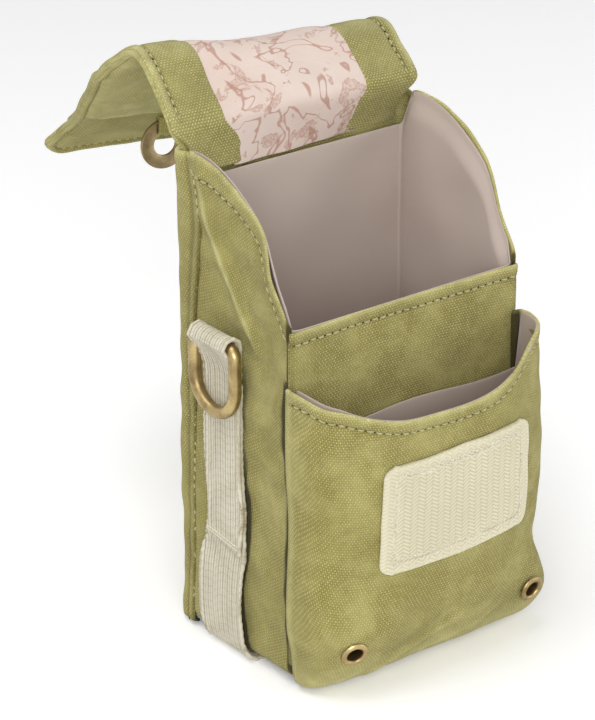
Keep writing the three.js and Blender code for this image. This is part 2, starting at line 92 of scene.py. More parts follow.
def spline(points, count):
    """A smooth curve through points, as count points with even steps along it."""
    p = np.array(points, float)
    p = np.vstack([2 * p[0] - p[1], p, 2 * p[-1] - p[-2]])
    parts = []
    for i in range(1, len(p) - 2):
        t = np.linspace(0, 1, 24, endpoint=False)[:, None]
        a, b, c, d = p[i - 1], p[i], p[i + 1], p[i + 2]
        parts.append(0.5 * (2 * b + (c - a) * t + (2 * a - 5 * b + 4 * c - d) * t**2 + (3 * b - a - 3 * c + d) * t**3))
    return even(np.vstack(parts + [p[-2:-1]]), count)


def even(points, count):
    """Points along a line of points, at even steps."""
    along = np.concatenate([[0], np.cumsum(np.linalg.norm(np.diff(points, axis=0), axis=1))])
    at = np.linspace(0, along[-1], count)
    return np.stack([np.interp(at, along, points[:, k]) for k in range(points.shape[1])], 1)


def lookup(points):
    """A smooth function of the first number of each point."""
    line = spline(points, 300)
    return lambda value: np.interp(value, line[:, 0], line[:, 1])


def distance_to(line, a, b):
    """Distance of each (a, b) to a line of points."""
    best = np.full(np.shape(a), 1e9)
    for (a0, b0), (a1, b1) in zip(line[:-1], line[1:]):
        da, db = a1 - a0, b1 - b0
        t = np.clip(((a - a0) * da + (b - b0) * db) / (da * da + db * db), 0, 1)
        best = np.minimum(best, np.hypot(a - a0 - t * da, b - b0 - t * db))
    return best


def unit(v):
    return v / np.maximum(np.linalg.norm(v, axis=-1, keepdims=True), 1e-9)


# ---- Meshes


class Skin:
    """Gathers vertices and faces for one object."""

    def __init__(self):
        self.points, self.faces, self.slots, self.uvs, self.wears, self.count = [], [], [], [], [], 0

    def add(self, points, faces, slot=0, uv=None, wear=None):
        points = np.asarray(points, float).reshape(-1, 3)
        self.points.append(points)
        self.faces += [tuple(int(i) + self.count for i in f) for f in faces]
        self.slots += [slot] * len(faces)
        self.uvs.append(np.zeros((len(points), 2)) if uv is None else np.asarray(uv, float).reshape(-1, 2))
        self.wears.append(np.zeros(len(points)) if wear is None else np.asarray(wear, float).ravel())
        self.count += len(points)

    def build(self, name, materials):
        mesh = bpy.data.meshes.new(name)
        mesh.from_pydata((np.vstack(self.points) * MM).tolist(), [], self.faces)
        for material in materials:
            mesh.materials.append(material)
        mesh.polygons.foreach_set("material_index", np.array(self.slots, np.int32))
        loops = np.zeros(len(mesh.loops), np.int32)
        mesh.loops.foreach_get("vertex_index", loops)
        layer = mesh.uv_layers.new(name="UVMap")
        layer.data.foreach_set("uv", np.vstack(self.uvs)[loops].astype(np.float32).ravel())
        # One value per point: above 0 it pales the cloth as real wear, below 0 it darkens it as painted shade.
        wear = mesh.attributes.new("wear", "FLOAT", "POINT")
        wear.data.foreach_set("value", np.concatenate(self.wears).astype(np.float32))
        mesh.shade_smooth()
        obj = bpy.data.objects.new(name, mesh)
        bpy.context.scene.collection.objects.link(obj)
        return obj


def normals_of(face, wrap=False):
    """Unit normals of a grid of points whose columns run to the right and whose rows run up."""
    if wrap:
        across = np.roll(face, -1, 1) - np.roll(face, 1, 1)
    else:
        across = np.gradient(face, axis=1)
    up = np.gradient(face, axis=0)
    return unit(np.cross(across, up))


def cloth_uv(face):
    """Distances along the cloth, in millimetres, from the middle of each row and up each column."""
    across = np.linalg.norm(np.diff(face, axis=1), axis=2)
    u = np.concatenate([np.zeros((len(face), 1)), np.cumsum(across, axis=1)], 1)
    u = u - u[:, -1:] / 2
    up = np.linalg.norm(np.diff(face, axis=0), axis=2)
    v = np.concatenate([np.zeros((1, face.shape[1])), np.cumsum(up, axis=0)], 0)
    return np.stack([u, v], 2)


def grid_faces(rows, cols, start=0, wrap=False, flip=False):
    """The quads of a grid of points; a wrapped one joins its last column to its first."""
    i = np.arange(rows - 1)[:, None]
    j = np.arange(cols if wrap else cols - 1)[None, :]
    k = (j + 1) % cols
    a, b, c, d = (start + x for x in (i * cols + j, i * cols + k, (i + 1) * cols + k, (i + 1) * cols + j))
    order = (d, c, b, a) if flip else (a, b, c, d)
    return np.stack([np.broadcast_to(x, a.shape) for x in order], 2).reshape(-1, 4)


def slab(name, face, thickness, material, uv=None, wear=None, wrap=False, holes=()):
    """A sheet of cloth with rounded edges: face is its outer side, and thickness goes inwards.

    A wrapped one closes on itself, as a sack does whose first row is a small ring in its floor.
    """
    rows, cols = face.shape[:2]
    normal = normals_of(face, wrap)
    depth = np.broadcast_to(thickness, face.shape[:2])[..., None]
    inner = face - normal * depth
    uv = cloth_uv(face) if uv is None else uv
    wear = np.zeros((rows, cols)) if wear is None else np.broadcast_to(wear, (rows, cols))
    index = np.arange(rows * cols).reshape(rows, cols)
    if wrap:
        loops = [(index[-1][::-1], (face[-1] - face[-2])[::-1]), (index[0], face[0] - face[1])]
    else:
        ring = np.concatenate([index[0], index[1:, -1], index[-1][::-1][1:], index[::-1, 0][1:-1]])
        away = np.zeros_like(face)
        away[0] += unit(face[0] - face[1])
        away[-1] += unit(face[-1] - face[-2])
        away[:, 0] += unit(face[:, 0] - face[:, 1])
        away[:, -1] += unit(face[:, -1] - face[:, -2])
        loops = [(ring, away.reshape(-1, 3)[ring])]
    points = [face.reshape(-1, 3), inner.reshape(-1, 3)]
    uvs, wears = [uv.reshape(-1, 2)] * 2, [wear.ravel()] * 2
    keep = np.ones((rows - 1, cols if wrap else cols - 1), bool)
    if len(holes):
        nxt = np.roll(face, -1, 1) if wrap else face[:, 1:]
        middle = (face[:-1, : keep.shape[1]] + nxt[1:, : keep.shape[1]]) / 2
        for centre, radius in holes:
            keep &= np.linalg.norm(middle - centre, axis=2) > radius
    faces = list(grid_faces(rows, cols, 0, wrap)[keep.ravel()])
    faces += list(grid_faces(rows, cols, rows * cols, wrap, flip=True)[keep.ravel()])
    start = 2 * rows * cols
    flat_face, flat_inner, flat_normal = face.reshape(-1, 3), inner.reshape(-1, 3), normal.reshape(-1, 3)
    steps = 3
    for ring, away in loops:
        away = unit(away)
        half = np.linalg.norm(flat_face[ring] - flat_inner[ring], axis=1)[:, None] / 2
        middle = (flat_face[ring] + flat_inner[ring]) / 2
        previous = ring
        for step in range(1, steps + 1):
            angle = math.pi * step / (steps + 1)
            points.append(middle + flat_normal[ring] * half * math.cos(angle) + away * half * math.sin(angle))
            uvs.append(uv.reshape(-1, 2)[ring] + half * 0.5)
            wears.append(wear.ravel()[ring])
            current = np.arange(len(ring)) + start
            nxt, nxt_previous = np.roll(current, -1), np.roll(previous, -1)
            faces += list(np.stack([current, nxt, nxt_previous, previous], 1))
            previous, start = current, start + len(ring)
        last = ring + rows * cols
        faces += list(np.stack([last, np.roll(last, -1), np.roll(previous, -1), previous], 1))
    skin = Skin()
    skin.add(np.vstack(points), faces, 0, np.vstack(uvs), np.concatenate(wears))
    return skin.build(name, [material])


def tube(skin, line, radius, sides=8, closed=False):
    """A round wire or thread along a line, without twist."""
    line = np.asarray(line, float)
    count = len(line)
    ahead = unit(np.roll(line, -1, 0) - np.roll(line, 1, 0) if closed else np.gradient(line, axis=0))
    side = unit(np.cross(ahead[0], [0.3, 0.2, 0.93]))
    angles = np.arange(sides) * 2 * math.pi / sides
    rings, radius = [], np.broadcast_to(radius, count)
    for i in range(count):
        side = unit(side - ahead[i] * (side @ ahead[i]))
        other = np.cross(ahead[i], side)
        rings.append(line[i] + radius[i] * (np.cos(angles)[:, None] * side + np.sin(angles)[:, None] * other))
    faces = []
    for i in range(count if closed else count - 1):
        k = (i + 1) % count
        for j in range(sides):
            m = (j + 1) % sides
            faces.append((i * sides + j, i * sides + m, k * sides + m, k * sides + j))
    if not closed:
        faces.append(tuple(range(sides))[::-1])
        faces.append(tuple(range((count - 1) * sides, count * sides)))
    uv = np.stack(np.meshgrid(np.arange(sides), np.arange(count)), 2)
    skin.add(np.array(rings), faces, 0, uv)


def lathe(skin, profile, place, axis, across, segments=48, slot=0):
    """A closed profile of (radius, height) turned about an axis."""
    axis, across = unit(np.array(axis, float)), unit(np.array(across, float))
    across = unit(across - axis * (across @ axis))
    other = np.cross(axis, across)
    angles = np.arange(segments) * 2 * math.pi / segments
    out = np.cos(angles)[:, None] * across + np.sin(angles)[:, None] * other
    points = np.array([[np.array(place) + out[k] * r + axis * h for r, h in profile] for k in range(segments)])
    count = len(profile)
    faces = []
    for k in range(segments):
        n = (k + 1) % segments
        for i in range(count):
            m = (i + 1) % count
            faces.append((k * count + i, n * count + i, n * count + m, k * count + m))
    uv = np.stack(np.meshgrid(np.arange(count), np.arange(segments)), 2)
    skin.add(points.reshape(-1, 3), faces, slot, uv)


def trace(face, rows, cols):
    """Points and normals on a grid, at fractions of its rows and columns."""
    normal = normals_of(face)
    r, c = np.asarray(rows, float), np.asarray(cols, float)
    r, c = np.clip(r, 0, face.shape[0] - 1.001), np.clip(c, 0, face.shape[1] - 1.001)
    i, j = r.astype(int), c.astype(int)
    a, b = (r - i)[:, None], (c - j)[:, None]

    def mix(field):
        low = field[i, j] * (1 - b) + field[i, j + 1] * b
        high = field[i + 1, j] * (1 - b) + field[i + 1, j + 1] * b
        return low * (1 - a) + high * a

    return mix(face), unit(mix(normal))


STITCH = 2.8
THREAD = 0.3


def stitches(skin, points, normals, pitch=STITCH, length=0.7, radius=THREAD, rise=0.12, seed=1):
    """A row of lockstitches on a surface: short threads that dip into the cloth, with dark discs of painted shade for
    the needle holes between.
    """
    rng = np.random.default_rng(seed)
    steps = np.linalg.norm(np.diff(points, axis=0), axis=1)
    along = np.concatenate([[0], np.cumsum(steps)])
    count = max(int(along[-1] / pitch), 1)
    pitch = along[-1] / count

    def at(s, field):
        return np.stack([np.interp(s, along, field[:, k]) for k in range(3)], 1)

    for n in range(count):
        start = n * pitch + pitch * (1 - length) / 2
        s = np.linspace(start, start + pitch * length, 6)
        p, up = at(s, points), unit(at(s, normals))
        side = np.cross(up, unit(np.gradient(p, axis=0)))
        drift = rng.normal(0, 0.09, 2)
        arch = np.sin(np.linspace(0, math.pi, 6)) * (rise + 0.18) - 0.12
        line = p + up * arch[:, None] + side * (drift[0] + drift[1] * np.linspace(-1, 1, 6))[:, None]
        tube(skin, line, radius * np.array([0.5, 0.9, 1, 1, 0.9, 0.5]), 6)
        # A near-black disc at each needle hole: painted shade where the thread goes into the cloth.
        hole = at(np.array([n * pitch]), points)[0]
        normal = unit(at(np.array([n * pitch]), normals))[0]
        lathe(skin, [(0.0, 0.06), (0.3, 0.03), (0.36, -0.1), (0.0, -0.1)], hole, normal, [0.31, 0.77, 0.56], 8, slot=1)


# ---- Materials


class Value:
    """A shader value, on which numbers' signs work."""

    def __init__(self, graph, socket):
        self.graph, self.socket = graph, socket

    def __add__(self, other):
        return self.graph.math("ADD", self, other)

    def __sub__(self, other):
        return self.graph.math("SUBTRACT", self, other)

    def __rsub__(self, other):
        return self.graph.math("SUBTRACT", other, self)

    def __mul__(self, other):
        return self.graph.math("MULTIPLY", self, other)

    def __truediv__(self, other):
        return self.graph.math("DIVIDE", self, other)

    def __mod__(self, other):
        return self.graph.math("MODULO", self, other)

    def __pow__(self, other):
        return self.graph.math("POWER", self, other)

    def __abs__(self):
        return self.graph.math("ABSOLUTE", self)

    def floor(self):
        return self.graph.math("FLOOR", self)

    def fract(self):
        return self.graph.math("FRACT", self)

    def sine(self):
        return self.graph.math("SINE", self)


class Graph:
    """Short ways to add and join shader nodes."""

    def __init__(self, tree):
        self.tree = tree

    def put(self, value, socket):
        """Gives a socket a number or a colour, or links it to a value."""
        if isinstance(value, Value):
            self.tree.links.new(value.socket, socket)
        else:
            socket.default_value = (*value, 1) if isinstance(value, tuple) else value

    def node(self, kind, output=0, **inputs):
        made = self.tree.nodes.new(kind)
        for key, value in inputs.items():
            self.put(value, made.inputs[key])
        return Value(self, made.outputs[output])

    def math(self, operation, a, b=0.0, clamp=False):
        made = self.tree.nodes.new("ShaderNodeMath")
        made.operation = operation
        made.use_clamp = clamp
        self.put(a, made.inputs[0])
        self.put(b, made.inputs[1])
        return Value(self, made.outputs[0])

    def mix(self, factor, a, b):
        """Colour a where the factor is 0, and b where it is 1."""
        made = self.tree.nodes.new("ShaderNodeMix")
        made.data_type = "RGBA"
        for value, place in ((factor, 0), (a, 6), (b, 7)):
            self.put(value, made.inputs[place])
        return Value(self, made.outputs[2])

    def noise(self, vector, scale, detail=3.0, rough=0.55, distortion=0.0):
        inputs = dict(Vector=vector, Scale=scale, Detail=detail, Roughness=rough, Distortion=distortion)
        return self.node("ShaderNodeTexNoise", "Fac", **inputs)

    def wobble(self, value, place, scale, reach, detail=2.0):
        """A value that strays by up to half of reach."""
        return value + (self.noise(place, scale, detail) - 0.5) * reach

    def ramp(self, value, stops):
        made = self.tree.nodes.new("ShaderNodeValToRGB")
        self.put(value, made.inputs[0])
        elements = made.color_ramp.elements
        while len(elements) < len(stops):
            elements.new(0.5)
        for element, (place, level) in zip(elements, stops):
            element.position = place
            element.color = (level, level, level, 1)
        return Value(self, made.outputs[0])

    def cloth_place(self):
        """Millimetres across the cloth and along it, and both as a vector."""
        made = self.tree.nodes.new("ShaderNodeUVMap")
        made.uv_map = "UVMap"
        vector = Value(self, made.outputs[0])
        parts = self.tree.nodes.new("ShaderNodeSeparateXYZ")
        self.put(vector, parts.inputs[0])
        return Value(self, parts.outputs[0]), Value(self, parts.outputs[1]), vector

    def place(self):
        return self.node("ShaderNodeTexCoord", "Object")

    # The mesh attribute: real wear above 0, painted shade below 0.
    def wear(self):
        made = self.tree.nodes.new("ShaderNodeAttribute")
        made.attribute_name = "wear"
        return Value(self, made.outputs["Fac"])

    def bump(self, height, distance, strength, **normal):
        return self.node("ShaderNodeBump", Height=height, Distance=distance, Strength=strength, **normal)


def new_material(name):
    """A material, its graph and the inputs of its shader."""
    material = bpy.data.materials.new(name)
    material.use_nodes = True
    tree = material.node_tree
    return material, Graph(tree), tree.nodes["Principled BSDF"].inputs


def matt(g, shader, colour, relief, roughness, specular, sheen=0.0):
    """Joins a matt surface's colour and relief to its shader."""
    g.put(colour, shader["Base Color"])
    if relief:
        g.put(relief, shader["Normal"])
    g.put(roughness, shader["Roughness"])
    g.put(specular, shader["Specular IOR Level"])
    g.put(sheen, shader["Sheen Weight"])


def shade(colour, share):
    """A colour made darker or lighter."""
    return tuple(min(1.0, share * c) for c in colour)


def weave(u, v, pitch_u, pitch_v):
    """Plain weave: the height of the threads, and which of the two sets lies on top."""
    across, along = u / pitch_u, v / pitch_v
    parity = abs(across.floor() + along.floor()) % 2.0
    hump_u, hump_v = (across.fract() * math.pi).sine(), (along.fract() * math.pi).sine()
    over = hump_u**0.7 * (hump_v * 0.6 + 0.4)
    under = hump_v**0.7 * (hump_u * 0.5 + 0.3)
    top = 1.0 - parity
    return over * top + under * 0.8 * parity, top


def canvas_material(name, dark, base, pale, pitch_u=0.52, pitch_v=0.77, wash=0.4, depth=0.2):
    """Washed canvas: plain weave with worn thread tops, slubs, uneven dye and pale creases, and painted shade where
    the mesh attribute goes below 0.
    """
    material, g, shader = new_material(name)
    place = g.place()
    u, v, _ = g.cloth_place()
    for scale, reach in ((45.0, 2.4), (260.0, 0.3)):
        u = g.wobble(u, place, scale, reach, 1.0)
        v = g.wobble(v, place, scale * 0.83, reach, 1.0)
    height, top = weave(u, v, pitch_u, pitch_v)
    slub = g.noise(place, 1000.0, 2.0)
    spots = g.ramp(slub, [(0.36, 0.0), (0.66, 1.0)])
    worn_soft = g.ramp(g.noise(place, 75.0, 4.0, 0.65, 0.3), [(0.42, 0.0), (0.66, 1.0)])
    colour = g.mix(g.ramp(height, [(0.1, 0.0), (0.8, 1.0)]), dark, base)
    tops = height**1.6 * (top * 0.65 + 0.35)
    colour = g.mix(tops * (spots * 0.75 + 0.15), colour, pale)
    middle = tuple(0.45 * a + 0.55 * b for a, b in zip(base, pale))
    colour = g.mix(worn_soft * wash, colour, middle)
    deep = g.ramp(g.noise(place, 22.0, 3.0, 0.5, 0.3), [(0.32, 1.0), (0.52, 0.0)])
    colour = g.mix(deep * 0.4, colour, shade(base, 0.7))
    wear = g.wear()
    worn = g.math("MULTIPLY", wear, g.ramp(g.noise(place, 220.0), [(0.25, 0.4), (0.7, 1.0)]), clamp=True)
    colour = g.mix(worn, colour, shade(pale, 1.25))
    # Painted shade: below 0 the mesh attribute darkens the canvas towards a deep olive, in seams, stitch grooves and
    # at the foot.
    colour = g.mix(g.math("MULTIPLY", wear, -1.0, clamp=True), colour, shade(dark, 0.3))
    fuzz = height * (1.0 - worn_soft * 0.45) + slub * 0.4
    matt(g, shader, colour, g.bump(fuzz, depth * MM * 1.6, 0.9), 0.92, 0.15, 0.12)
    return material


def twill_material(name, base, dark, pitch=0.55):
    """Thin lining cloth with a fine diagonal twill."""
    material, g, shader = new_material(name)
    u, v, _ = g.cloth_place()
    height = ((u + v) * (2 * math.pi / pitch)).sine() * 0.5 + 0.5
    colour = g.mix(height * 0.5, dark, base)
    colour = g.mix(g.ramp(g.noise(g.place(), 30.0), [(0.3, 0.0), (0.7, 0.3)]), colour, shade(base, 0.8))
    matt(g, shader, colour, g.bump(height, 0.05 * MM, 0.6), 0.8, 0.25, 0.1)
    return material


def print_material(name, ground, blush, ink):
    """Printed cotton: a generic marbled pattern of fine meandering lines and stippled patches."""
    material, g, shader = new_material(name)
    u, v, vector = g.cloth_place()
    bands = (g.noise(vector, 0.045, 3.0, 0.5, 0.8) * 7.0).fract()
    line = g.ramp(abs(bands - 0.5), [(0.0, 1.0), (0.035, 0.9), (0.075, 0.0)])
    second = g.noise(vector, 0.09, 4.0, 0.62, 1.4)
    patch = g.ramp(second, [(0.56, 0.0), (0.6, 1.0)])
    stipple = g.ramp(g.noise(vector, 1.1, 2.0, 0.7), [(0.42, 0.25), (0.6, 1.0)])
    rim = g.ramp(abs(second - 0.58), [(0.0, 1.0), (0.012, 0.7), (0.03, 0.0)])
    colour = g.mix(g.ramp(g.noise(vector, 0.05, 3.0, 0.6), [(0.35, 0.0), (0.7, 1.0)]) * 0.55, ground, blush)
    for strength in (patch * stipple * 0.55, rim * 0.5, line * 0.75):
        colour = g.mix(strength, colour, ink)
    threads, _ = weave(u, v, 0.4, 0.4)
    colour = g.mix((1.0 - threads) * 0.14, colour, shade(ink, 0.6))
    relief = g.bump(g.noise(g.place(), 90.0), 0.5 * MM, 0.5, Normal=g.bump(threads, 0.05 * MM, 0.7))
    matt(g, shader, colour, relief, 0.88, 0.2, 0.1)
    return material


def braid_material(name, dark, base, pale, rib, pitch, slope, depth):
    """Herringbone of small slanted knots in lengthwise ribs, for hook tape."""
    material, g, shader = new_material(name)
    place = g.place()
    u, v, _ = g.cloth_place()
    across = (u / rib).fract()
    fold = abs(across * 2.0 - 1.0)
    run = g.wobble(v, place, 420.0, 0.35) / pitch + fold * slope
    knot = (run * (2 * math.pi)).sine() * 0.5 + 0.5
    ridge = ((across * 2.0).fract() * math.pi).sine()
    height = (knot * 0.65 + 0.35) * ridge**0.15 + g.noise(place, 1300.0, 2.0) * 0.35
    colour = g.mix(g.ramp(height, [(0.15, 0.0), (0.85, 1.0)]), dark, base)
    colour = g.mix(g.ramp(height, [(0.75, 0.0), (1.25, 1.0)]), colour, pale)
    colour = g.mix(g.ramp(g.noise(place, 45.0), [(0.35, 0.25), (0.65, 0.0)]), colour, shade(base, 0.8))
    colour = g.mix(g.wear(), colour, pale)
    matt(g, shader, colour, g.bump(height, depth * MM, 0.9), 0.93, 0.15, 0.15)
    return material


def strap_material(name, dark, base, pale, strand, pitch, depth):
    """Cotton webbing: lengthwise strands of long soft stitches, in pairs with a speckled valley between."""
    material, g, shader = new_material(name)
    place = g.place()
    u, v, _ = g.cloth_place()
    u, v = g.wobble(u, place, 150.0, 0.5), g.wobble(v, place, 230.0, 0.8)
    across = u / strand
    start = ((across.floor() * 12.99).sine() * 437.58).fract()
    ridge = (across.fract() * math.pi).sine() ** 0.5
    stitch = ((v / pitch + start).fract() * math.pi).sine() ** 0.45
    valley = g.ramp(abs((across * 0.5).fract() - 0.5), [(0.36, 0.0), (0.5, 1.0)])
    dots = (v * (2 * math.pi / 1.05)).sine() * 0.4 + 0.6
    height = (ridge * 0.7 + 0.3) * (stitch * 0.3 + 0.7) - valley * dots * 0.55
    height = height + g.noise(place, 1300.0, 2.0) * 0.25
    colour = g.mix(g.ramp(height, [(0.2, 0.0), (0.8, 1.0)]), dark, base)
    colour = g.mix(g.ramp(height, [(0.8, 0.0), (1.2, 1.0)]), colour, pale)
    colour = g.mix(g.ramp(g.noise(place, 45.0), [(0.35, 0.25), (0.65, 0.0)]), colour, shade(base, 0.85))
    wear = g.wear()
    colour = g.mix(g.math("MULTIPLY", wear, 1.0, clamp=True), colour, pale)
    # Painted shade: below 0 the mesh attribute darkens the webbing.
    colour = g.mix(g.math("MULTIPLY", wear, -1.0, clamp=True), colour, shade(dark, 0.4))
    matt(g, shader, colour, g.bump(height, depth * MM, 0.8), 0.93, 0.15, 0.15)
    return material


def brass_material(name, base, dull, roughness):
    """Antique brass: cast metal with browned hollows, handling marks and a brushed sheen."""
    material, g, shader = new_material(name)
    place = g.place()
    cloud = g.noise(place, 110.0, 5.0, 0.65, 0.6)
    fine = g.noise(place, 900.0, 3.0, 0.6)
    colour = g.mix(g.ramp(cloud, [(0.35, 1.0), (0.62, 0.0)]), base, dull)
    colour = g.mix(g.ramp(fine, [(0.55, 0.0), (0.75, 1.0)]) * 0.35, colour, dull)
    g.put(colour, shader["Base Color"])
    g.put(1.0, shader["Metallic"])
    g.put(g.ramp(cloud, [(0.3, roughness + 0.16), (0.65, roughness)]), shader["Roughness"])
    g.put(g.bump(cloud + fine * 0.3, 0.12 * MM, 0.35), shader["Normal"])
    return material


def plain_fibre(name, base, dark, scale=700.0):
    """Thread, foam or loop pile: a fibrous matt surface."""
    material, g, shader = new_material(name)
    fibre = g.noise(g.place(), scale, 4.0, 0.7, 0.5)
    colour = g.mix(g.ramp(fibre, [(0.3, 0.0), (0.65, 1.0)]), dark, base)
    matt(g, shader, colour, g.bump(fibre, 0.25 * MM, 0.8), 0.95, 0.1)
    return material


CANVAS_TONES = (0.2, 0.165, 0.035), (0.41, 0.36, 0.1), (0.68, 0.64, 0.31)
CANVAS = canvas_material("washed_canvas", *CANVAS_TONES)
SIDE_CANVAS = canvas_material("washed_canvas_sides", *CANVAS_TONES, 0.77, 0.52)
FACING_TONES = (0.19, 0.16, 0.036), (0.41, 0.37, 0.11), (0.72, 0.68, 0.36)
FACING = canvas_material("facing_canvas", *FACING_TONES, 0.52, 0.75, 0.2, 0.24)
LINING = twill_material("lining_twill", (0.62, 0.52, 0.46), (0.45, 0.37, 0.32))
PRINT = print_material("printed_lining", (0.72, 0.61, 0.545), (0.64, 0.48, 0.41), (0.42, 0.22, 0.16))
WEBBING_TONES = (0.38, 0.315, 0.205), (0.57, 0.52, 0.385), (0.68, 0.64, 0.52)
WEBBING = strap_material("cotton_webbing", *WEBBING_TONES, 1.15, 2.4, 0.32)
HOOK = braid_material("hook_tape", (0.53, 0.47, 0.31), (0.62, 0.57, 0.395), (0.74, 0.69, 0.52), 4.7, 1.16, 1.2, 0.1)
PILE = plain_fibre("loop_pile", (0.75, 0.7, 0.55), (0.45, 0.4, 0.28))
FOAM = plain_fibre("foam", (0.75, 0.73, 0.66), (0.6, 0.58, 0.5), 400.0)
THREAD_PAINT = plain_fibre("olive_thread", (0.62, 0.58, 0.33), (0.36, 0.32, 0.14), 2000.0)
# Near-black discs at the needle holes: painted shade.
HOLE_SHADE_PAINT = plain_fibre("needle_hole_shade", (0.035, 0.03, 0.012), (0.02, 0.017, 0.008), 2000.0)
ECRU_THREAD = plain_fibre("ecru_thread", (0.84, 0.79, 0.65), (0.62, 0.56, 0.42), 2000.0)
BRASS = brass_material("worn_brass", (0.53, 0.41, 0.19), (0.24, 0.17, 0.08), 0.3)
BRONZED = brass_material("bronzed_brass", (0.5, 0.39, 0.22), (0.26, 0.2, 0.11), 0.4)


def keep(obj, body, slot=None, replaces=()):
    """Files a finished piece on what it rides on and hides the CAD nodes it stands for; its finish (slot) is not used.
    """
    if body:
        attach(obj, body)
    if replaces:
        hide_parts(*replaces)
    return obj


def declare_sheet(face, closed=False):
    """Works out cross products across the cloth's grid, and keeps nothing.

    A closed one is a sack, whose first column is joined on again at its end.
    """
    if closed:
        face = np.concatenate([face, face[:, :1]], 1)
    crossed = np.cross(face[1:, 1:] - face[:-1, :-1], face[1:, :-1] - face[:-1, 1:])


# ---- Sizes from the frame

joints = {j["name"]: j for j in frame["joints"]}


def joint_place(name):
    """A hinge's place in millimetres."""
    return np.array(joints[name]["pos_m"]) / MM


side_low = node_box("left_side_panel")[0]
HALF, FOOT = -side_low[0], side_low[2]
FRONT = node_box("front_panel")[0][1]
BACK = -FRONT
BACK_TOP, FRONT_TOP = 150.5, 111.1
CANVAS_THICK = 1.0
CLEAR = 0.3
LAYER = CANVAS_THICK + CLEAR
LINING_THICK, FOAM_THICK = 0.4, 0.9
FRONT_CORNER, BACK_CORNER = 3.0, 2.8
HEM, SIDE_HEM = 3.2, 4.7

# The top edge of a side, from front to back
side_top = lookup([
    (-26.8, 110.7), (-22.7, 117.7), (-18.3, 125.2), (-13.9, 135.6), (-8.5, 141.4), (2.8, 148.3), (14.4, 151.6),
    (26.8, 150.5),
])
# Where the back panel's felled seam runs down the side
seam_line = lookup([
    (0, 22.5), (24, 21), (40, 20.6), (72, 20), (103, 19.2), (114, 18), (126, 16.6), (134, 16.4), (145, 18.6),
    (150, 20), (160, 21),
])
# A worn crease that slants down the side from the seam
CREASE = spline([
    (14.1, 146), (12.6, 139), (10.1, 131), (6.5, 124.7), (2.4, 119.3), (-1.7, 113.7), (-6.3, 107.9), (-11, 101),
], 20)

sling_low, sling_high = node_box("sling_webbing")
SLING_HALF = sling_high[0]
WEB = 1.2
WEB_WIDTH = sling_high[1] - sling_low[1]
WEB_MIDDLE = (sling_low[1] + sling_high[1]) / 2
RIB = 2.5

# How far the sewn webbing wanders backwards along its height
strap_wander = lookup([
    (-5, 0.4), (2, 0.9), (8, 1.9), (20, 2.4), (31, 1.9), (42, -0.5), (50, -0.8), (60, 0.3), (75, 0.7), (90, 0.7),
    (106, 0.8),
])

# How far the sewn webbing bows out from the side
strap_bulge = lookup([(0, 0.0), (4, 0.5), (10, 1.3), (17, 1.6), (25, 1.3), (32, 0.6), (36, 0.15), (60, 0.1), (84, 0)])


def strap_width(z):
    """The sling's width at a height: it is drawn in above the seam of the ring loop."""
    return WEB_WIDTH * (1.0 - 0.19 * smooth(32, 42, z))


# How far the pocket's left edge overhangs the side
left_spread = lookup([
    (-3, 0.4), (6, 0.8), (13, 1.0), (21, 1.9), (34, 1.7), (53, 1.0), (72, 2.0), (85, 2.1), (104, 1.8),
])


def foot_pull(z, radius=5.0, foot=FOOT):
    """How far the walls draw in where they turn under the base."""
    rise = np.clip(z - foot, 0, radius)
    return radius - np.sqrt(np.maximum(radius**2 - (radius - rise) ** 2, 0))


def wall_rows(top, foot, rows):
    """Heights of a wall's rows under an uneven top edge."""
    return foot + (top - foot) * np.linspace(0, 1, rows)[:, None]


# ---- Body


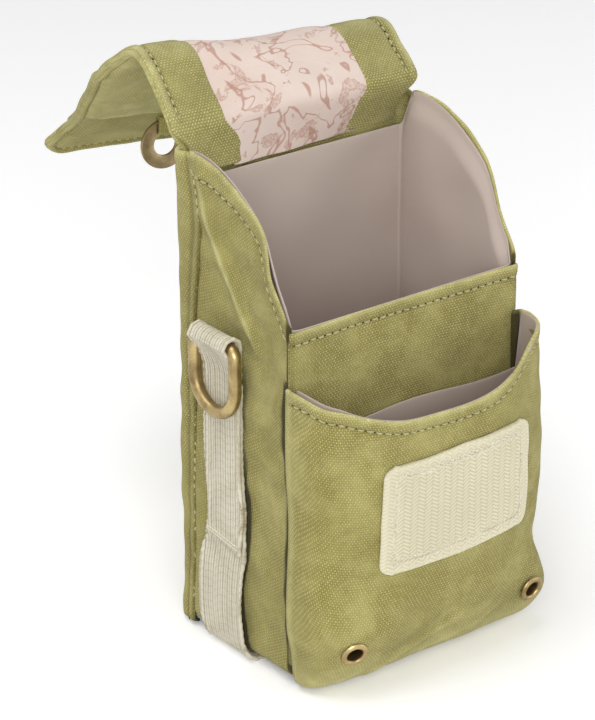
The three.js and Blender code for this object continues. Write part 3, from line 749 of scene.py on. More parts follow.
def side_face(side):
    """The outer side of a side panel, as a grid from its foot to its hem."""
    rows, cols = 190, 64
    path = spline([
        (-HALF + 1.1, 19.8), (-HALF + 0.5, 19.0), (-HALF + 0.05, 17.6), (-HALF, 15), (-HALF, 5), (-HALF, -8),
        (-HALF, -20),
        (-HALF, FRONT + 4.2), (-HALF, FRONT + 2.6), (-HALF + 0.15, FRONT + 1.6), (-HALF + 0.6, FRONT + 1.1),
    ], cols)
    x, y = path[:, 0][None, :], path[:, 1][None, :]
    z = wall_rows(side_top(y), FOOT, rows)
    back_share = smooth(0, 19, y)
    y = y + (seam_line(z) - 19.4) * back_share
    below = (side_top(y) - z) * 0.8
    swell = 0.5 * waves(y, z, 34, 11 + side) + 0.22 * waves(y, z, 13, 21 + side)
    swell *= smooth(FRONT + 0.5, FRONT + 5, y) * smooth(22, 14, y) * smooth(0, 12, z)
    hem = 0.45 * smooth(SIDE_HEM + 0.9, SIDE_HEM - 0.6, below) - 0.45 * bell(below - SIDE_HEM, 0.7)
    crease_distance = distance_to(CREASE, y, z)
    crease = 1.0 * bell(crease_distance, 2.6) if side < 0 else 0.5 * bell(crease_distance, 4)
    hollow = -0.9 * bell(np.hypot((y - 2) / 10, (z - 108) / 14), 1) if side < 0 else 0
    out = swell + (crease + hollow) * smooth(19, 13, y) + hem
    x = x - out * smooth(FRONT + 0.2, FRONT + 3, y) + foot_pull(z)
    y = y + 0.7 * foot_pull(z) * smooth(FRONT + 4, FRONT, y)
    joint_line = FRONT + 0.9 + (1.28 * left_spread(z) - 1.1) * smooth(97, 95, z) * (side < 0)
    wear = 0.55 * bell(crease_distance, 0.9) * (side < 0) * smooth(100, 108, z) + 0.35 * bell(below, 0.8)
    # Below 0 the value is painted shade: in the hem's stitch groove, along the joint with the pocket, at the foot and
    # along the felled seam.
    wear = wear - 0.5 * bell(below - SIDE_HEM, 0.55) - 1.3 * smooth(joint_line + 1.6, joint_line + 0.8, y)
    wear = wear - 0.8 * smooth(FOOT + 1.6, FOOT + 0.2, z)
    wear = wear - 0.55 * smooth(seam_line(z) - 1.3, seam_line(z) - 0.5, y)
    if side < 0:
        # Painted shadow of the webbing: a dark band on the side beside the strap's edge.
        strap_edge = WEB_MIDDLE - strap_width(z) / 2 + strap_wander(z) + 1.28 * (0.3 + strap_bulge(z))
        shade = smooth(strap_edge - 1.4, strap_edge - 0.6, y) * smooth(strap_edge + 13, strap_edge + 10, y)
        wear = wear - (0.5 + 1.0 * smooth(70, 50, z)) * shade * smooth(2, 6, z) * smooth(92, 86, z)
    face = np.stack([np.broadcast_to(x, z.shape), np.broadcast_to(y, z.shape), z], 2)
    wear = np.broadcast_to(wear, z.shape)
    if side > 0:
        face = face[:, ::-1] * np.array([-1, 1, 1])
        wear = wear[:, ::-1]
    return face, wear


def hem_trace(face, distance, slope=0.8):
    """A line on a wall at an even distance under its hem."""
    rows, cols = face.shape[:2]
    j = np.linspace(1.5, cols - 2.5, 90)
    heights = np.array([np.interp(c, np.arange(cols), face[-1, :, 2]) for c in j]) - distance / slope
    i = np.array([np.interp(h, face[:, int(round(c)), 2], np.arange(rows)) for h, c in zip(heights, j)])
    return trace(face, i, j)


def make_body():
    for side, name in ((-1, "left"), (1, "right")):
        face, wear = side_face(side)
        obj = slab(f"{name}_side", face, CANVAS_THICK, SIDE_CANVAS, wear=wear)
        keep(obj, "pouch", "canvas", [f"{name}_side_panel"])
        declare_sheet(face)
        skin = Skin()
        points, normals = hem_trace(face, SIDE_HEM)
        stitches(skin, points, normals, seed=5 + side)
        rows, cols = face.shape[:2]
        i = np.linspace(6, rows - 6, 160)
        points, normals = trace(face, i, np.full(160, 3.0 if side < 0 else cols - 4.0))
        stitches(skin, points, normals, seed=15 + side)
        keep(skin.build(f"{name}_side_hem_stitches", [THREAD_PAINT, HOLE_SHADE_PAINT]), "pouch", "canvas")
    make_back()
    make_front()
    make_base()


def back_face():
    """The outer side of the back panel, round both corners to its felled seams."""
    rows, cols = 180, 150
    cx, cy = HALF - BACK_CORNER, BACK - BACK_CORNER
    angles = np.radians(np.linspace(0, 90, 9))[1:]
    arc = [(cx + BACK_CORNER * math.cos(a), cy + BACK_CORNER * math.sin(a)) for a in angles]
    right = [(HALF + 0.25, 18.0), (HALF + 0.3, 19.0), *arc, (cx - 1.5, BACK), (cx - 5, BACK), (cx - 15, BACK)]
    path = spline([*right, (0, BACK), *[(-x, y) for x, y in right[::-1]]], cols)
    x, y = path[:, 0][None, :], path[:, 1][None, :]
    top, foot = BACK_TOP + 0.0 * x, 0.6
    z = wall_rows(top, foot, rows)
    along = np.arange(cols) * np.linalg.norm(path[1] - path[0])
    from_end = np.minimum(along, along[-1] - along)[None, :]
    y = y + (seam_line(z) - 19.6) * smooth(9, 1, from_end)
    normal = unit(np.stack([np.gradient(path[:, 1]), -np.gradient(path[:, 0])], 1))
    below = top - z
    swell = 0.5 * waves(from_end, z, 40, 31) * smooth(4, 10, from_end) + 0.2 * waves(from_end, z, 14, 33)
    for rise, place, width in ((0.35, 8, 3), (0.3, 1.2, 1.2), (-0.5, 3.0, 0.6), (0.25, 5, 1.5)):
        swell += rise * bell(from_end - place, width)
    hem = 0.4 * smooth(HEM + 0.9, HEM - 0.6, below) - 0.4 * bell(below - HEM, 0.7)
    out = swell + hem * smooth(3, 6, from_end) - foot_pull(z, 2.2 + 2.8 * smooth(13, 20, from_end), foot)
    face = np.stack([x + normal[:, 0] * out, y + normal[:, 1] * out, z], 2)
    # Worn pale along the top edge and on a ridge by the seam; painted shade at the seam's edge, in its stitch groove
    # and at the foot.
    wear = 0.4 * bell(below, 0.8) - 0.6 * bell(from_end - 0.1, 0.4) - 0.55 * bell(from_end - 3.0, 0.5)
    wear = wear + 0.25 * bell(from_end - 9, 2.5) - 0.8 * smooth(2.2, 0.8, z)
    return face, np.broadcast_to(wear, z.shape)


def make_back():
    face, wear = back_face()
    obj = slab("back_wall", face, CANVAS_THICK, CANVAS, wear=wear)
    keep(obj, "pouch", "canvas", ["back_panel"])
    declare_sheet(face)
    skin = Skin()
    points, normals = hem_trace(face[:, 10:-10], HEM, 1.0)
    stitches(skin, points, normals, seed=4)
    keep(skin.build("back_stitches", [THREAD_PAINT, HOLE_SHADE_PAINT]), "pouch", "canvas")


def front_face():
    """The outer side of the front panel, which the pocket covers but for its upper part."""
    rows, cols = 120, 96
    half_path = [(-HALF + 0.1, FRONT + 0.9), (-HALF + 0.6, FRONT + 0.25), (-HALF + 2, FRONT), (-HALF + 6, FRONT)]
    path = spline([*half_path, (0, FRONT), *[(-x, y) for x, y in half_path[::-1]]], cols)
    x, y = path[:, 0][None, :], path[:, 1][None, :]
    top = FRONT_TOP + 0 * x
    z = wall_rows(top, 1.0, rows)
    below = top - z
    hem = 0.4 * smooth(HEM + 0.9, HEM - 0.6, below) - 0.45 * bell(below - HEM, 0.7)
    slack = 0.35 * waves(x, z, 30, 41) * smooth(HALF - 2, HALF - 10, abs(x)) * smooth(70, 84, z)
    swell = -0.7 * smooth(80, 112, z) * (1 - (x / HALF) ** 2) + slack
    # Worn pale along the top edge; painted shade in the hem's stitch groove and along both side edges.
    wear = 0.35 * bell(below, 0.8) - 0.4 * bell(below - HEM, 0.5) - 0.3 * smooth(HALF - 1.4, HALF - 0.4, abs(x))
    face = np.stack([x * (1 - 0.16 * smooth(8, 1, z)), y + 3.0 * smooth(6, 1, z) - (hem + swell), z], 2)
    return face, np.broadcast_to(wear, z.shape)


def make_front():
    face, wear = front_face()
    obj = slab("front_wall", face, CANVAS_THICK, CANVAS, wear=wear)
    keep(obj, "pouch", "canvas", ["front_panel"])
    declare_sheet(face)
    skin = Skin()
    points, normals = hem_trace(face, HEM, 1.0)
    stitches(skin, points, normals, seed=9)
    keep(skin.build("front_hem_stitches", [THREAD_PAINT, HOLE_SHADE_PAINT]), "pouch", "canvas")


def plan_loop(inset, count):
    """The body's outline seen from above, drawn in by inset, anticlockwise from the middle of the front."""
    half, front, back = HALF - inset, FRONT + inset, BACK - inset
    rf, rb = max(FRONT_CORNER - inset, 0.8), max(BACK_CORNER - inset, 0.8)
    points = [(0, front)]
    for cx, cy, r, start in (
        (half - rf, front + rf, rf, -90), (half - rb, back - rb, rb, 0),
        (-half + rb, back - rb, rb, 90), (-half + rf, front + rf, rf, 180),
    ):
        for a in np.radians(np.linspace(start, start + 90, 8)):
            points.append((cx + r * math.cos(a), cy + r * math.sin(a)))
    points.append((0, front))
    return even(np.array(points), count + 1)[:-1]


def sack_face(loop, top, floor, floor_rows, wall_count, corner, flare):
    """A sack's outer side: from the middle of its floor outwards, round the edge and up to its mouth."""
    centre = loop.mean(0)
    rows = []
    for share in np.linspace(0.03, 1, floor_rows):
        reach = centre + (loop - centre) * share
        lift = corner * (1 - math.sqrt(max(1 - max(0.0, (share - 0.9) / 0.1) ** 2, 0)))
        rows.append(np.column_stack([reach, np.full(len(loop), floor + lift)]))
    for share in np.linspace(0, 1, wall_count + 1)[1:]:
        z = floor + corner + (top - floor - corner) * share
        out = unit(np.column_stack([np.gradient(loop[:, 1]), -np.gradient(loop[:, 0])]))
        rows.append(np.column_stack([loop + out * flare(z)[:, None], z]))
    return np.array(rows)


def disc_face(loop, height, rings):
    """A flat piece inside an outline, as rings of points from its middle outwards."""
    centre = loop.mean(0)
    spread = [centre + (loop - centre) * share for share in np.linspace(0.03, 1, rings)]
    return np.array([np.column_stack([ring, np.full(len(loop), height)]) for ring in spread])


def make_base():
    """The lining of the main compartment, the base panel and the foam between them."""
    count = 200
    lining = plan_loop(2.6, count)
    y = lining[:, 1]
    top = side_top(y) + 0.15
    step = FRONT_TOP + 0.35 + (side_top(y) - FRONT_TOP) * smooth(FRONT + 2.7, FRONT + 4, y)
    top = np.where(y < FRONT + 4, step, top) - 10 * smooth(20.5, 23.5, y)

    def flare(z):
        return 1.85 * smooth(8, 1, top - z) * smooth(23.5, 20.5, y) - 0.3

    face = sack_face(lining, top, 4.2, 14, 90, 2.0, flare)
    face[..., 0] += 0.3 * waves(face[..., 1], face[..., 2], 22, 51) * smooth(0, 8, top - face[..., 2])
    face[..., 1] += 0.3 * waves(face[..., 0], face[..., 2], 26, 52) * smooth(0, 8, top - face[..., 2])
    obj = slab("body_lining_bag", face, LINING_THICK, LINING, wrap=True)
    keep(obj, "pouch", "lining", ["body_lining"])
    declare_sheet(face, True)
    rings = 20
    face = disc_face(plan_loop(LAYER + 3.4, count), FOOT + 0.05, rings)
    face[..., 2] += 0.25 * smooth(0.6, 1, np.linspace(0.03, 1, rings))[:, None]
    obj = keep(slab("base_panel", face, CANVAS_THICK, CANVAS, wrap=True), "pouch", "canvas", ["bottom_panel"])
    flat = np.ptp(face[-1, :, :2], axis=0) * MM
    area = 0.97 * flat.prod()  # less its round corners
    for name in ("back", "front", "left", "right"):
        obj = slab(f"{name}_foam_sheet", foam_face(name), FOAM_THICK, FOAM)
        keep(obj, "pouch", "foam", [f"{name}_foam"])
    low = node_box("bottom_foam")[0]
    face = disc_face(plan_loop(LAYER + 1 + CLEAR, count), low[2], 12)
    obj = keep(slab("base_foam_sheet", face, FOAM_THICK, FOAM, wrap=True), "pouch", "foam", ["bottom_foam"])


def foam_face(name):
    """The outer side of a wall's foam, inside its CAD node's box."""
    low, high = node_box(f"{name}_foam")
    rows, cols = 24, 16
    if name in ("back", "front"):
        front = name == "front"
        x = np.linspace(low[0], high[0], cols)[None, :] * (1 if front else -1)
        y = (low[1] if front else high[1]) + 0 * x
        top = (FRONT_TOP if front else BACK_TOP - 10) - 2 + 0 * x
    else:
        side = -1 if name == "left" else 1
        y = np.linspace(high[1], low[1], cols)[None, ::-side]
        x = (low[0] if side < 0 else high[0]) + 0 * y
        top = side_top(y) - 9
    z = wall_rows(top, low[2], rows)
    return np.stack([np.broadcast_to(x, z.shape), np.broadcast_to(y, z.shape), z], 2)


# ---- Front pocket

POCKET_BACK = FRONT - CLEAR
pocket_low, pocket_high = node_box("front_pocket")
POCKET_HALF, POCKET_BULGE = pocket_high[0], POCKET_BACK - pocket_low[1]
POCKET_FOOT = 8.0
POCKET_ROUND = 32.0
POCKET_POWER, FOOT_POWER = 2.8, 5.2
POCKET_MOUTH, POCKET_CORNER = 85.5, 97.0
CORNER_PUSH = 2.6


def pocket_size(z):
    """The pocket's half width, its depth and the power of its superellipse at a height."""
    share = 1 - np.clip(z / POCKET_ROUND, 0, 1)
    half = POCKET_HALF - 2 * share**2
    depth = POCKET_FOOT + (POCKET_BULGE - POCKET_FOOT) * (1 - share**2.2)
    return half, depth, POCKET_POWER + (FOOT_POWER - POCKET_POWER) * share


# The mouth's height along the pocket; the corner on the right stands up more
mouth_height = lookup([
    (-POCKET_HALF - 2, POCKET_CORNER), (-POCKET_HALF, 96.0), (-39.5, 93.2), (-36, 91.8), (-31.6, 90), (-23.8, 87.6),
    (-14.8, 86.2), (-1.5, POCKET_MOUTH), (12.4, 86.5), (19, 88.2), (23.4, 90.4), (28.4, 94), (32, 96), (36, 97),
    (POCKET_HALF, POCKET_CORNER), (POCKET_HALF + 2, POCKET_CORNER),
])
right_spread = lookup([(0, 0), (20, 0), (29, -1.2), (38, 0.8), (50, 1.7), (62, 1.6), (76, 0.5), (90, 0), (104, 0)])


def corner_push(x, z):
    """1 where a lower corner of the pocket stands forward round its vent eyelet."""
    return smooth(25, 38, x) * bell(z - 13, 9)


POCKET_FOLDS = [
    (spline([(-24, 4), (-16, 8), (-6, 14), (4, 19)], 12), 0.7, 1.5),
    (spline([(-4, 5), (8, 9), (20, 15)], 12), 0.4, 2.0),
]


def pocket_swell(x, z):
    """How far the slack cloth of the pocket stands out from its plain shape; the patch keeps it flat."""
    stiff = smooth(32, 25, np.abs(x)) * smooth(34, 42, z) * smooth(80, 73, z)
    swell = (0.45 * waves(x, z, 36, 61) + 0.2 * waves(x, z, 15, 62)) * (1 - 0.75 * stiff)
    for line, height, width in POCKET_FOLDS:
        distance = distance_to(line, x, z)
        swell = swell + height * bell(distance, width) - 0.5 * height * bell(distance - 1.8 * width, width)
    return swell * smooth(0, 6, z)


def pocket_section(z, inset, count):
    """The pocket's outline at one height, from its left seam round the front to its right seam."""
    half, depth, power = pocket_size(z)
    pull = float(foot_pull(np.array(z), 4.0, 0.4))
    half, depth = half - inset - pull * 0.6, depth - inset - pull
    angle = np.linspace(math.pi, 0, 181)
    cos, sin = np.cos(angle), np.sin(angle)
    x = half * np.sign(cos) * np.abs(cos) ** (2 / power)
    y = POCKET_BACK - depth * np.abs(sin) ** (2 / power)
    lip = 3.5
    soft = 1.2
    left = [(-half + lip, POCKET_BACK), (-half + soft, POCKET_BACK), (-half + 0.3, POCKET_BACK - 0.3)]
    right = [(-a, b) for a, b in left[::-1]]
    middle = np.stack([x, y], 1)
    middle = middle[(middle[:, 1] < POCKET_BACK - soft)]
    return even(np.vstack([left, middle, right]), count)


def pocket_face(inset=0.0, rows=150, cols=230, foot=0.4):
    """The pocket's outer side, as a grid from its foot to its mouth, and the mouth's heights."""
    heights = np.linspace(foot, 100, 60)
    sections = np.array([pocket_section(z, inset, cols) for z in heights])
    top = mouth_height(sections[-1, :, 0])
    face = np.zeros((rows, cols, 3))
    for j in range(cols):
        z = foot + (top[j] - foot) * np.linspace(0, 1, rows)
        face[:, j, 0] = np.interp(z, heights, sections[:, j, 0])
        face[:, j, 1] = np.interp(z, heights, sections[:, j, 1])
        face[:, j, 2] = z
    return face, top


def make_pocket():
    face, top = pocket_face()
    x, z = face[..., 0], face[..., 2]
    below = (top[None, :] - z) * 0.93
    front_share = smooth(POCKET_BACK - 3, POCKET_BACK - 9, face[..., 1])
    push = corner_push(x, z) * front_share
    face[..., 1] -= CORNER_PUSH * push
    spread = left_spread(z) * smooth(-33, -41.5, x) - right_spread(z) * smooth(33, 41.5, x)
    face[..., 0] += np.sign(x) * 1.4 * push - spread
    x = face[..., 0]
    normal = normals_of(face)
    from_seam = np.minimum(np.arange(face.shape[1]), face.shape[1] - 1 - np.arange(face.shape[1]))[None, :] * 0.6
    slack = smooth(5, 14, from_seam)
    hem = 0.45 * smooth(HEM + 0.9, HEM - 0.6, below) - 0.5 * bell(below - HEM, 0.75)
    face = face + normal * (pocket_swell(x, z) * slack + hem * smooth(4, 8, from_seam))[..., None]
    wear = 0.4 * bell(below, 0.8) + 0.3 * bell(from_seam - 6, 1.5) + 0.45 * smooth(14, 2, z) * smooth(4, 10, from_seam)
    # Painted shade in the hem's stitch groove, along the side seams and at the foot.
    wear = wear - 0.45 * bell(below - HEM, 0.5) * smooth(4, 8, from_seam)
    wear = wear - 1.2 * smooth(3.4, 2.2, from_seam) - 0.8 * smooth(1.6, 0.5, z)
    for line, height, width in POCKET_FOLDS:
        wear = wear + 0.35 * height * bell(distance_to(line, x, z), width * 0.7)
    eyelets = [eyelet_seat(-1), eyelet_seat(1)]
    obj = slab("pocket_front", face, CANVAS_THICK, CANVAS, wear=wear, holes=[(place, 2.9) for place, _ in eyelets])
    keep(obj, "pouch", "canvas", ["front_pocket"])
    declare_sheet(face)
    skin = Skin()
    points, normals = hem_trace(face[:, 12:-12], HEM, 0.93)
    stitches(skin, points, normals, seed=12)
    keep(skin.build("pocket_hem_stitches", [THREAD_PAINT, HOLE_SHADE_PAINT]), "pouch", "canvas")
    make_pocket_lining(eyelets)
    make_patch()
    for side, name in ((-1, "left"), (1, "right")):
        make_eyelet(name, side)


def pocket_wall(x, z):
    """The Y of the pocket's outer side, without its slack."""
    half, depth, power = pocket_size(z)
    depth = depth * np.maximum(1 - (np.abs(x) / half) ** power, 0) ** (1 / power)
    return POCKET_BACK - depth - CORNER_PUSH * corner_push(x, z)


def eyelet_seat(side):
    """Where a vent eyelet sits on the pocket, and the way it faces."""
    x, z, step = side * 33.0, 16.0, 0.5
    slope_x = float(pocket_wall(x + step, z) - pocket_wall(x - step, z))
    slope_z = float(pocket_wall(x, z + step) - pocket_wall(x, z - step))
    return np.array([x, float(pocket_wall(x, z)), z]), unit(np.array([slope_x, -1, slope_z]))


def make_pocket_lining(eyelets):
    back_count, floor, corner, back_top = 90, 4.5, 2.0, 80.0
    front, _ = pocket_face(LAYER, 8, 150, floor)
    line = front[-1, 6:-6, :2]
    back_x = np.linspace(line[-1, 0] - 1.5, line[0, 0] + 1.5, back_count)
    base = np.vstack([line, np.column_stack([back_x, np.full(back_count, POCKET_BACK - LAYER)])])
    top = np.concatenate([mouth_height(line[:, 0]) + 0.35, back_top + 0.8 * np.cos(back_x / 9)])
    in_front = np.arange(len(top)) < len(line)
    rows = []
    for share in np.linspace(0, 1, 80):
        z = floor + corner + (top - floor - corner) * share
        half, depth, _ = pocket_size(z)
        flare = (0.95 - 0.9 * smooth(28, 37, np.abs(base[:, 0]))) * smooth(7, 1, top - z)
        wider = (half - LAYER + flare) / (POCKET_HALF - LAYER)
        deeper = np.where(in_front, (depth - LAYER + flare) / (POCKET_BULGE - LAYER), 1)
        rows.append(np.column_stack([base[:, 0] * wider, POCKET_BACK + (base[:, 1] - POCKET_BACK) * deeper, z]))
    foot = rows[0][:, :2]
    centre = foot.mean(0)
    spread = np.linspace(0.03, 0.985, 12)
    heights = floor + corner * smooth(0.85, 1.0, spread)
    rings = [np.column_stack([centre + (foot - centre) * s, np.full(len(top), h)]) for s, h in zip(spread, heights)]
    face = np.array(rings + rows)
    swell = pocket_swell(face[..., 0], face[..., 2]) * smooth(30, 18, abs(face[..., 0])) * in_front[None, :]
    face[..., 1] -= swell * smooth(4, 12, face[..., 2])
    holes = [(place - normal * 2, 3.4) for place, normal in eyelets]
    obj = slab("pocket_lining_bag", face, LINING_THICK, LINING, wrap=True, holes=holes)
    keep(obj, "pouch", "lining", ["pocket_lining"])
    declare_sheet(face, True)


def patch_turn(x, z):
    """The patch sits a little askew, with its right end higher."""
    angle, middle = math.radians(1.3), 57.5
    x = x + 0.055 * (z - 40) * smooth(26, -26, x)
    z = z - middle
    return x * math.cos(angle) - z * math.sin(angle) + 0.3, middle + x * math.sin(angle) + z * math.cos(angle)


def rounded_rows(half, low, high, corner, rows):
    """Heights and half widths of a shape with four rounded corners, with finer steps at both ends."""
    share = np.linspace(0, 1, rows)
    share = share - 0.5 * np.sin(2 * math.pi * share) / (2 * math.pi)
    z = low + (high - low) * share
    edge = np.minimum(z - low, high - z)
    cut = corner - np.sqrt(np.maximum(corner**2 - (corner - np.minimum(edge, corner)) ** 2, 0))
    return z, half - cut


def make_patch():
    """The patch of hook tape on the pocket, with two rounds of zigzag stitches."""
    low, high = node_box("hook_patch")
    half, thick, stand = high[0], 1.4, 0.2
    rows, cols = 120, 190
    z, reach = rounded_rows(half, low[2], high[2], 3.2, rows)
    x = reach[:, None] * np.linspace(-1, 1, cols)[None, :]
    z = np.broadcast_to(z[:, None], x.shape)
    flat_x, flat_z = x, z
    x, z = patch_turn(x, z)
    y = pocket_wall(x, z)
    face = np.stack([x, y, z], 2)
    ahead = np.stack([x + 0.5, pocket_wall(x + 0.5, z), z], 2) - np.stack([x - 0.5, pocket_wall(x - 0.5, z), z], 2)
    above = np.stack([x, pocket_wall(x, z + 0.5), z + 0.5], 2) - np.stack([x, pocket_wall(x, z - 0.5), z - 0.5], 2)
    normal = unit(np.cross(ahead, above))
    from_edge = np.minimum(np.minimum(flat_z - low[2], high[2] - flat_z), reach[:, None] - np.abs(flat_x))
    sewn = bell(from_edge - 3.1, 0.9)
    out = pocket_swell(x, z) + stand + thick - 0.3 * sewn + 0.1 * waves(x, z, 9, 71)
    face = face + normal * out[..., None]
    uv = np.stack([flat_x, flat_z], 2)
    wear = 0.5 * smooth(2.6, 0.4, from_edge) + 0.25 * sewn
    obj = slab("hook_tape_patch", face, thick, HOOK, uv=uv, wear=wear)
    keep(obj, "pouch", "hook", ["hook_patch"])
    declare_sheet(face)
    skin = Skin()
    for inset, swing, pitch, seed in ((2.6, 0.55, 1.9, 3), (3.7, 0.35, 2.3, 4)):
        loop = patch_loop(half - inset, low[2] + inset, high[2] - inset, 3.5)
        length = np.linalg.norm(np.diff(loop, axis=0), axis=1).sum()
        loop = even(loop, int(length / 0.28))
        way = unit(np.gradient(loop, axis=0))
        side = np.stack([-way[:, 1], way[:, 0]], 1)
        s = np.arange(len(loop)) * 0.28
        zigzag = np.abs(((s / pitch) % 1) * 2 - 1) * 2 - 1
        points = loop + side * (zigzag * swing + 0.12 * waves(s, s * 0, 7, seed))[:, None]
        px, pz = patch_turn(points[:, 0], points[:, 1])
        py = pocket_wall(px, pz) - pocket_swell(px, pz) - stand - thick + 0.28
        lift = 0.14 * np.cos(s / pitch * 2 * math.pi)
        tube(skin, np.stack([px, py - 0.06 - lift, pz], 1), 0.28, 6, closed=True)
    keep(skin.build("patch_zigzag_stitches", [ECRU_THREAD]), "pouch", "hook")


def patch_loop(half, low, high, corner):
    """A closed rounded outline in X and Z."""
    points = []
    x, bottom, top = half - corner, low + corner, high - corner
    for cx, cz, start in ((x, bottom, -90), (x, top, 0), (-x, top, 90), (-x, bottom, 180)):
        for a in np.radians(np.linspace(start, start + 90, 7)):
            points.append((cx + corner * math.cos(a), cz + corner * math.sin(a)))
    points.append(points[0])
    return np.array(points)


def make_eyelet(name, side):
    """A brass vent eyelet and the washer that holds it inside the pocket."""
    place, normal = eyelet_seat(side)
    place = place + normal * 0.15
    inner, barrel, flange, washer_thick = 2.35, 2.8, 4.2, 0.7
    profile = [(inner, -4.1), (barrel, -4.1), (barrel, 0.1)]
    profile += [(flange - 0.12, 0.1), (flange, 0.3), (flange - 0.15, 0.62), (flange - 0.6, 0.92)]
    profile += [(3.3, 1.05), (2.9, 0.98), (2.55, 0.75), (inner + 0.02, 0.3)]
    skin = Skin()
    lathe(skin, profile, place, normal, [0, 0, 1], 56)
    keep(skin.build(f"{name}_vent_eyelet", [BRASS]), "pouch", "brass", [f"{name}_eyelet"])
    washer = Skin()
    outer = -(CANVAS_THICK + LINING_THICK + 3 * CLEAR + washer_thick)
    back = outer - washer_thick
    ring = [(3.1, back), (flange - 0.15, back), (flange, back + 0.2), (flange, outer - 0.1), (3.1, outer)]
    lathe(washer, ring, place, normal, [0, 0, 1], 48)
    keep(washer.build(f"{name}_vent_washer", [BRASS]), "pouch", "brass", [f"{name}_eyelet_washer"])


# ---- Webbing and rings


def webbing_face(line, across, middle, width, seed, wander=0.0):
    """A ribbed strap: line is the path of its outer side, and across points over its width."""
    rows = len(line)
    cols = 61
    t = np.linspace(-1, 1, cols)[None, :]
    s = np.concatenate([[0], np.cumsum(np.linalg.norm(np.diff(line, axis=0), axis=1))])[:, None]
    edge = np.broadcast_to(wander, rows)[:, None]
    half = width / 2 + 0.15 * waves(s, s * 0, 9, seed + 1)
    offset = middle + edge + half * t
    face = line[:, None, :] + across[None, None, :] * offset[..., None]
    normal = normals_of(face)
    rib = 0.14 * np.abs(np.cos(t * width / RIB * math.pi / 2 * 2)) - 0.07
    crown = -0.35 * smooth(0.86, 1.0, np.abs(t))
    knots = 0.1 * np.sin(s / 2.6 * 2 * math.pi) * smooth(0.8, 1.0, np.abs(t))
    uv = np.stack([np.broadcast_to(value, face.shape[:2]) for value in (offset, s)], 2)
    return face + normal * (rib + crown + knots)[..., None], uv


def make_sling():
    heights = (sling_high[2] - 1, 80, 72, 60, 48, 38, 34, 29, 24, 19, 14, 9.5, 6)
    left = [(-SLING_HALF - float(strap_bulge(z)), z) for z in heights]
    left += [(-SLING_HALF + 0.4, 2.6), (-SLING_HALF + 2.6, 0.7), (-SLING_HALF + 6, 0.1)]
    bottom = [(x, 0.05) for x in (-24, -8, 8, 24)]
    right = [(-x, z) for x, z in left[::-1]]
    path = spline([*left, *bottom, *right], 620)
    line = np.stack([path[:, 0], np.zeros(len(path)), path[:, 1]], 1)
    width = strap_width(path[:, 1]) - 0.9 * smooth(34, 44, path[:, 1])
    face, uv = webbing_face(line, np.array([0, -1.0, 0]), -WEB_MIDDLE, width[:, None], 81, -strap_wander(path[:, 1]))
    face, uv = face[:, ::-1], uv[:, ::-1]
    obj = slab("sling_strap", face, WEB, WEBBING, uv=uv)
    keep(obj, "pouch", "webbing", ["sling_webbing"])
    declare_sheet(face)


def make_ring_loop(side, name):
    bar = joint_place(f"{name}_ring_swing")
    wire, space = 1.7, 0.3
    inner_line = SLING_HALF + 0.05
    outer_line = SLING_HALF + WEB + 0.3
    reach = abs(bar[0])
    radius = wire + space + WEB
    arc = [(reach + radius * math.cos(a), bar[2] + radius * math.sin(a)) for a in np.radians(np.linspace(-5, 190, 14))]
    seam = node_box(f"{name}_ring_loop")[0][2]
    lower = [(-0.1, 0), (0.25, 4), (0.15, 14), (0.1, 26), (0.05, 38)]
    upper = [(0, -13), (0.5, -8.3), (2.6, -3.7)]
    points = [(outer_line + out, seam + up) for out, up in lower]
    points += [(outer_line + out, bar[2] + up) for out, up in upper]
    points += [*arc, (inner_line + 0.4, bar[2] - 6.3), (inner_line, bar[2] - 9.9)]
    path = spline(points, 420)
    line = np.stack([side * path[:, 0], np.zeros(len(path)), path[:, 1]], 1)
    loop_width = WEB_WIDTH * (0.83 + 0.02 * smooth(90, 97, path[:, 1]))
    wander = -side * strap_wander(path[:, 1])
    across = np.array([0, -side, 0.0])
    face, uv = webbing_face(line, across, -side * WEB_MIDDLE, loop_width[:, None], 91 + side, wander)
    face, uv = face[:, ::-1], uv[:, ::-1]
    face[..., 2] += 0.12 * (face[..., 1] - WEB_MIDDLE) * smooth(seam + 9, seam, face[..., 2])
    obj = slab(f"{name}_strap_loop", face, WEB, WEBBING, uv=uv)
    keep(obj, "pouch", "webbing", [f"{name}_ring_loop"])
    declare_sheet(face)
    skin = Skin()
    across = np.linspace(-WEB_WIDTH * 0.4, WEB_WIDTH * 0.4, 60)
    for shift in (1.4, 2.3):
        height = seam + shift
        zig = height + 0.12 * across + 0.35 * np.abs(((across / 0.9) % 1) * 2 - 1)
        y = across + WEB_MIDDLE + strap_wander(height)
        tube(skin, np.stack([np.full(60, side * (outer_line + 0.2)), y, zig], 1), 0.24, 6)
    keep(skin.build(f"{name}_bar_tacks", [ECRU_THREAD]), "pouch", "webbing")


def make_d_ring(name):
    """A D ring: its straight bar on top, in the webbing, and its bow hanging down."""
    low, high = node_box(f"{name}_d_ring")
    wire = (high[0] - low[0]) / 2 * 1.12
    reach = (high[1] - low[1]) / 2 - wire - 1.5
    drop = (high[2] - low[2]) - 2 * wire
    corner = 2.6
    middle_y = (low[1] + high[1]) / 2 + 0.8
    foot = reach - drop
    turn = np.radians(np.linspace(0, 90, 7))
    points = [(reach - corner + corner * math.sin(a), -corner + corner * math.cos(a)) for a in turn]
    points += [(reach * math.cos(a), foot - reach * math.sin(a)) for a in np.radians(np.linspace(0, 90, 20))]
    half = np.array(points)
    loop = np.vstack([half, half[::-1][1:] * np.array([-1, 1])])
    loop = even(np.vstack([loop, loop[:1]]), 141)[:-1]
    middle_x = np.full(len(loop), (low[0] + high[0]) / 2)
    skin = Skin()
    tube(skin, np.stack([middle_x, middle_y + loop[:, 0], high[2] - wire + loop[:, 1]], 1), wire, 20, closed=True)
    keep(skin.build(f"{name}_brass_ring", [BRASS]), f"{name}_ring", "brass", [f"{name}_d_ring"])


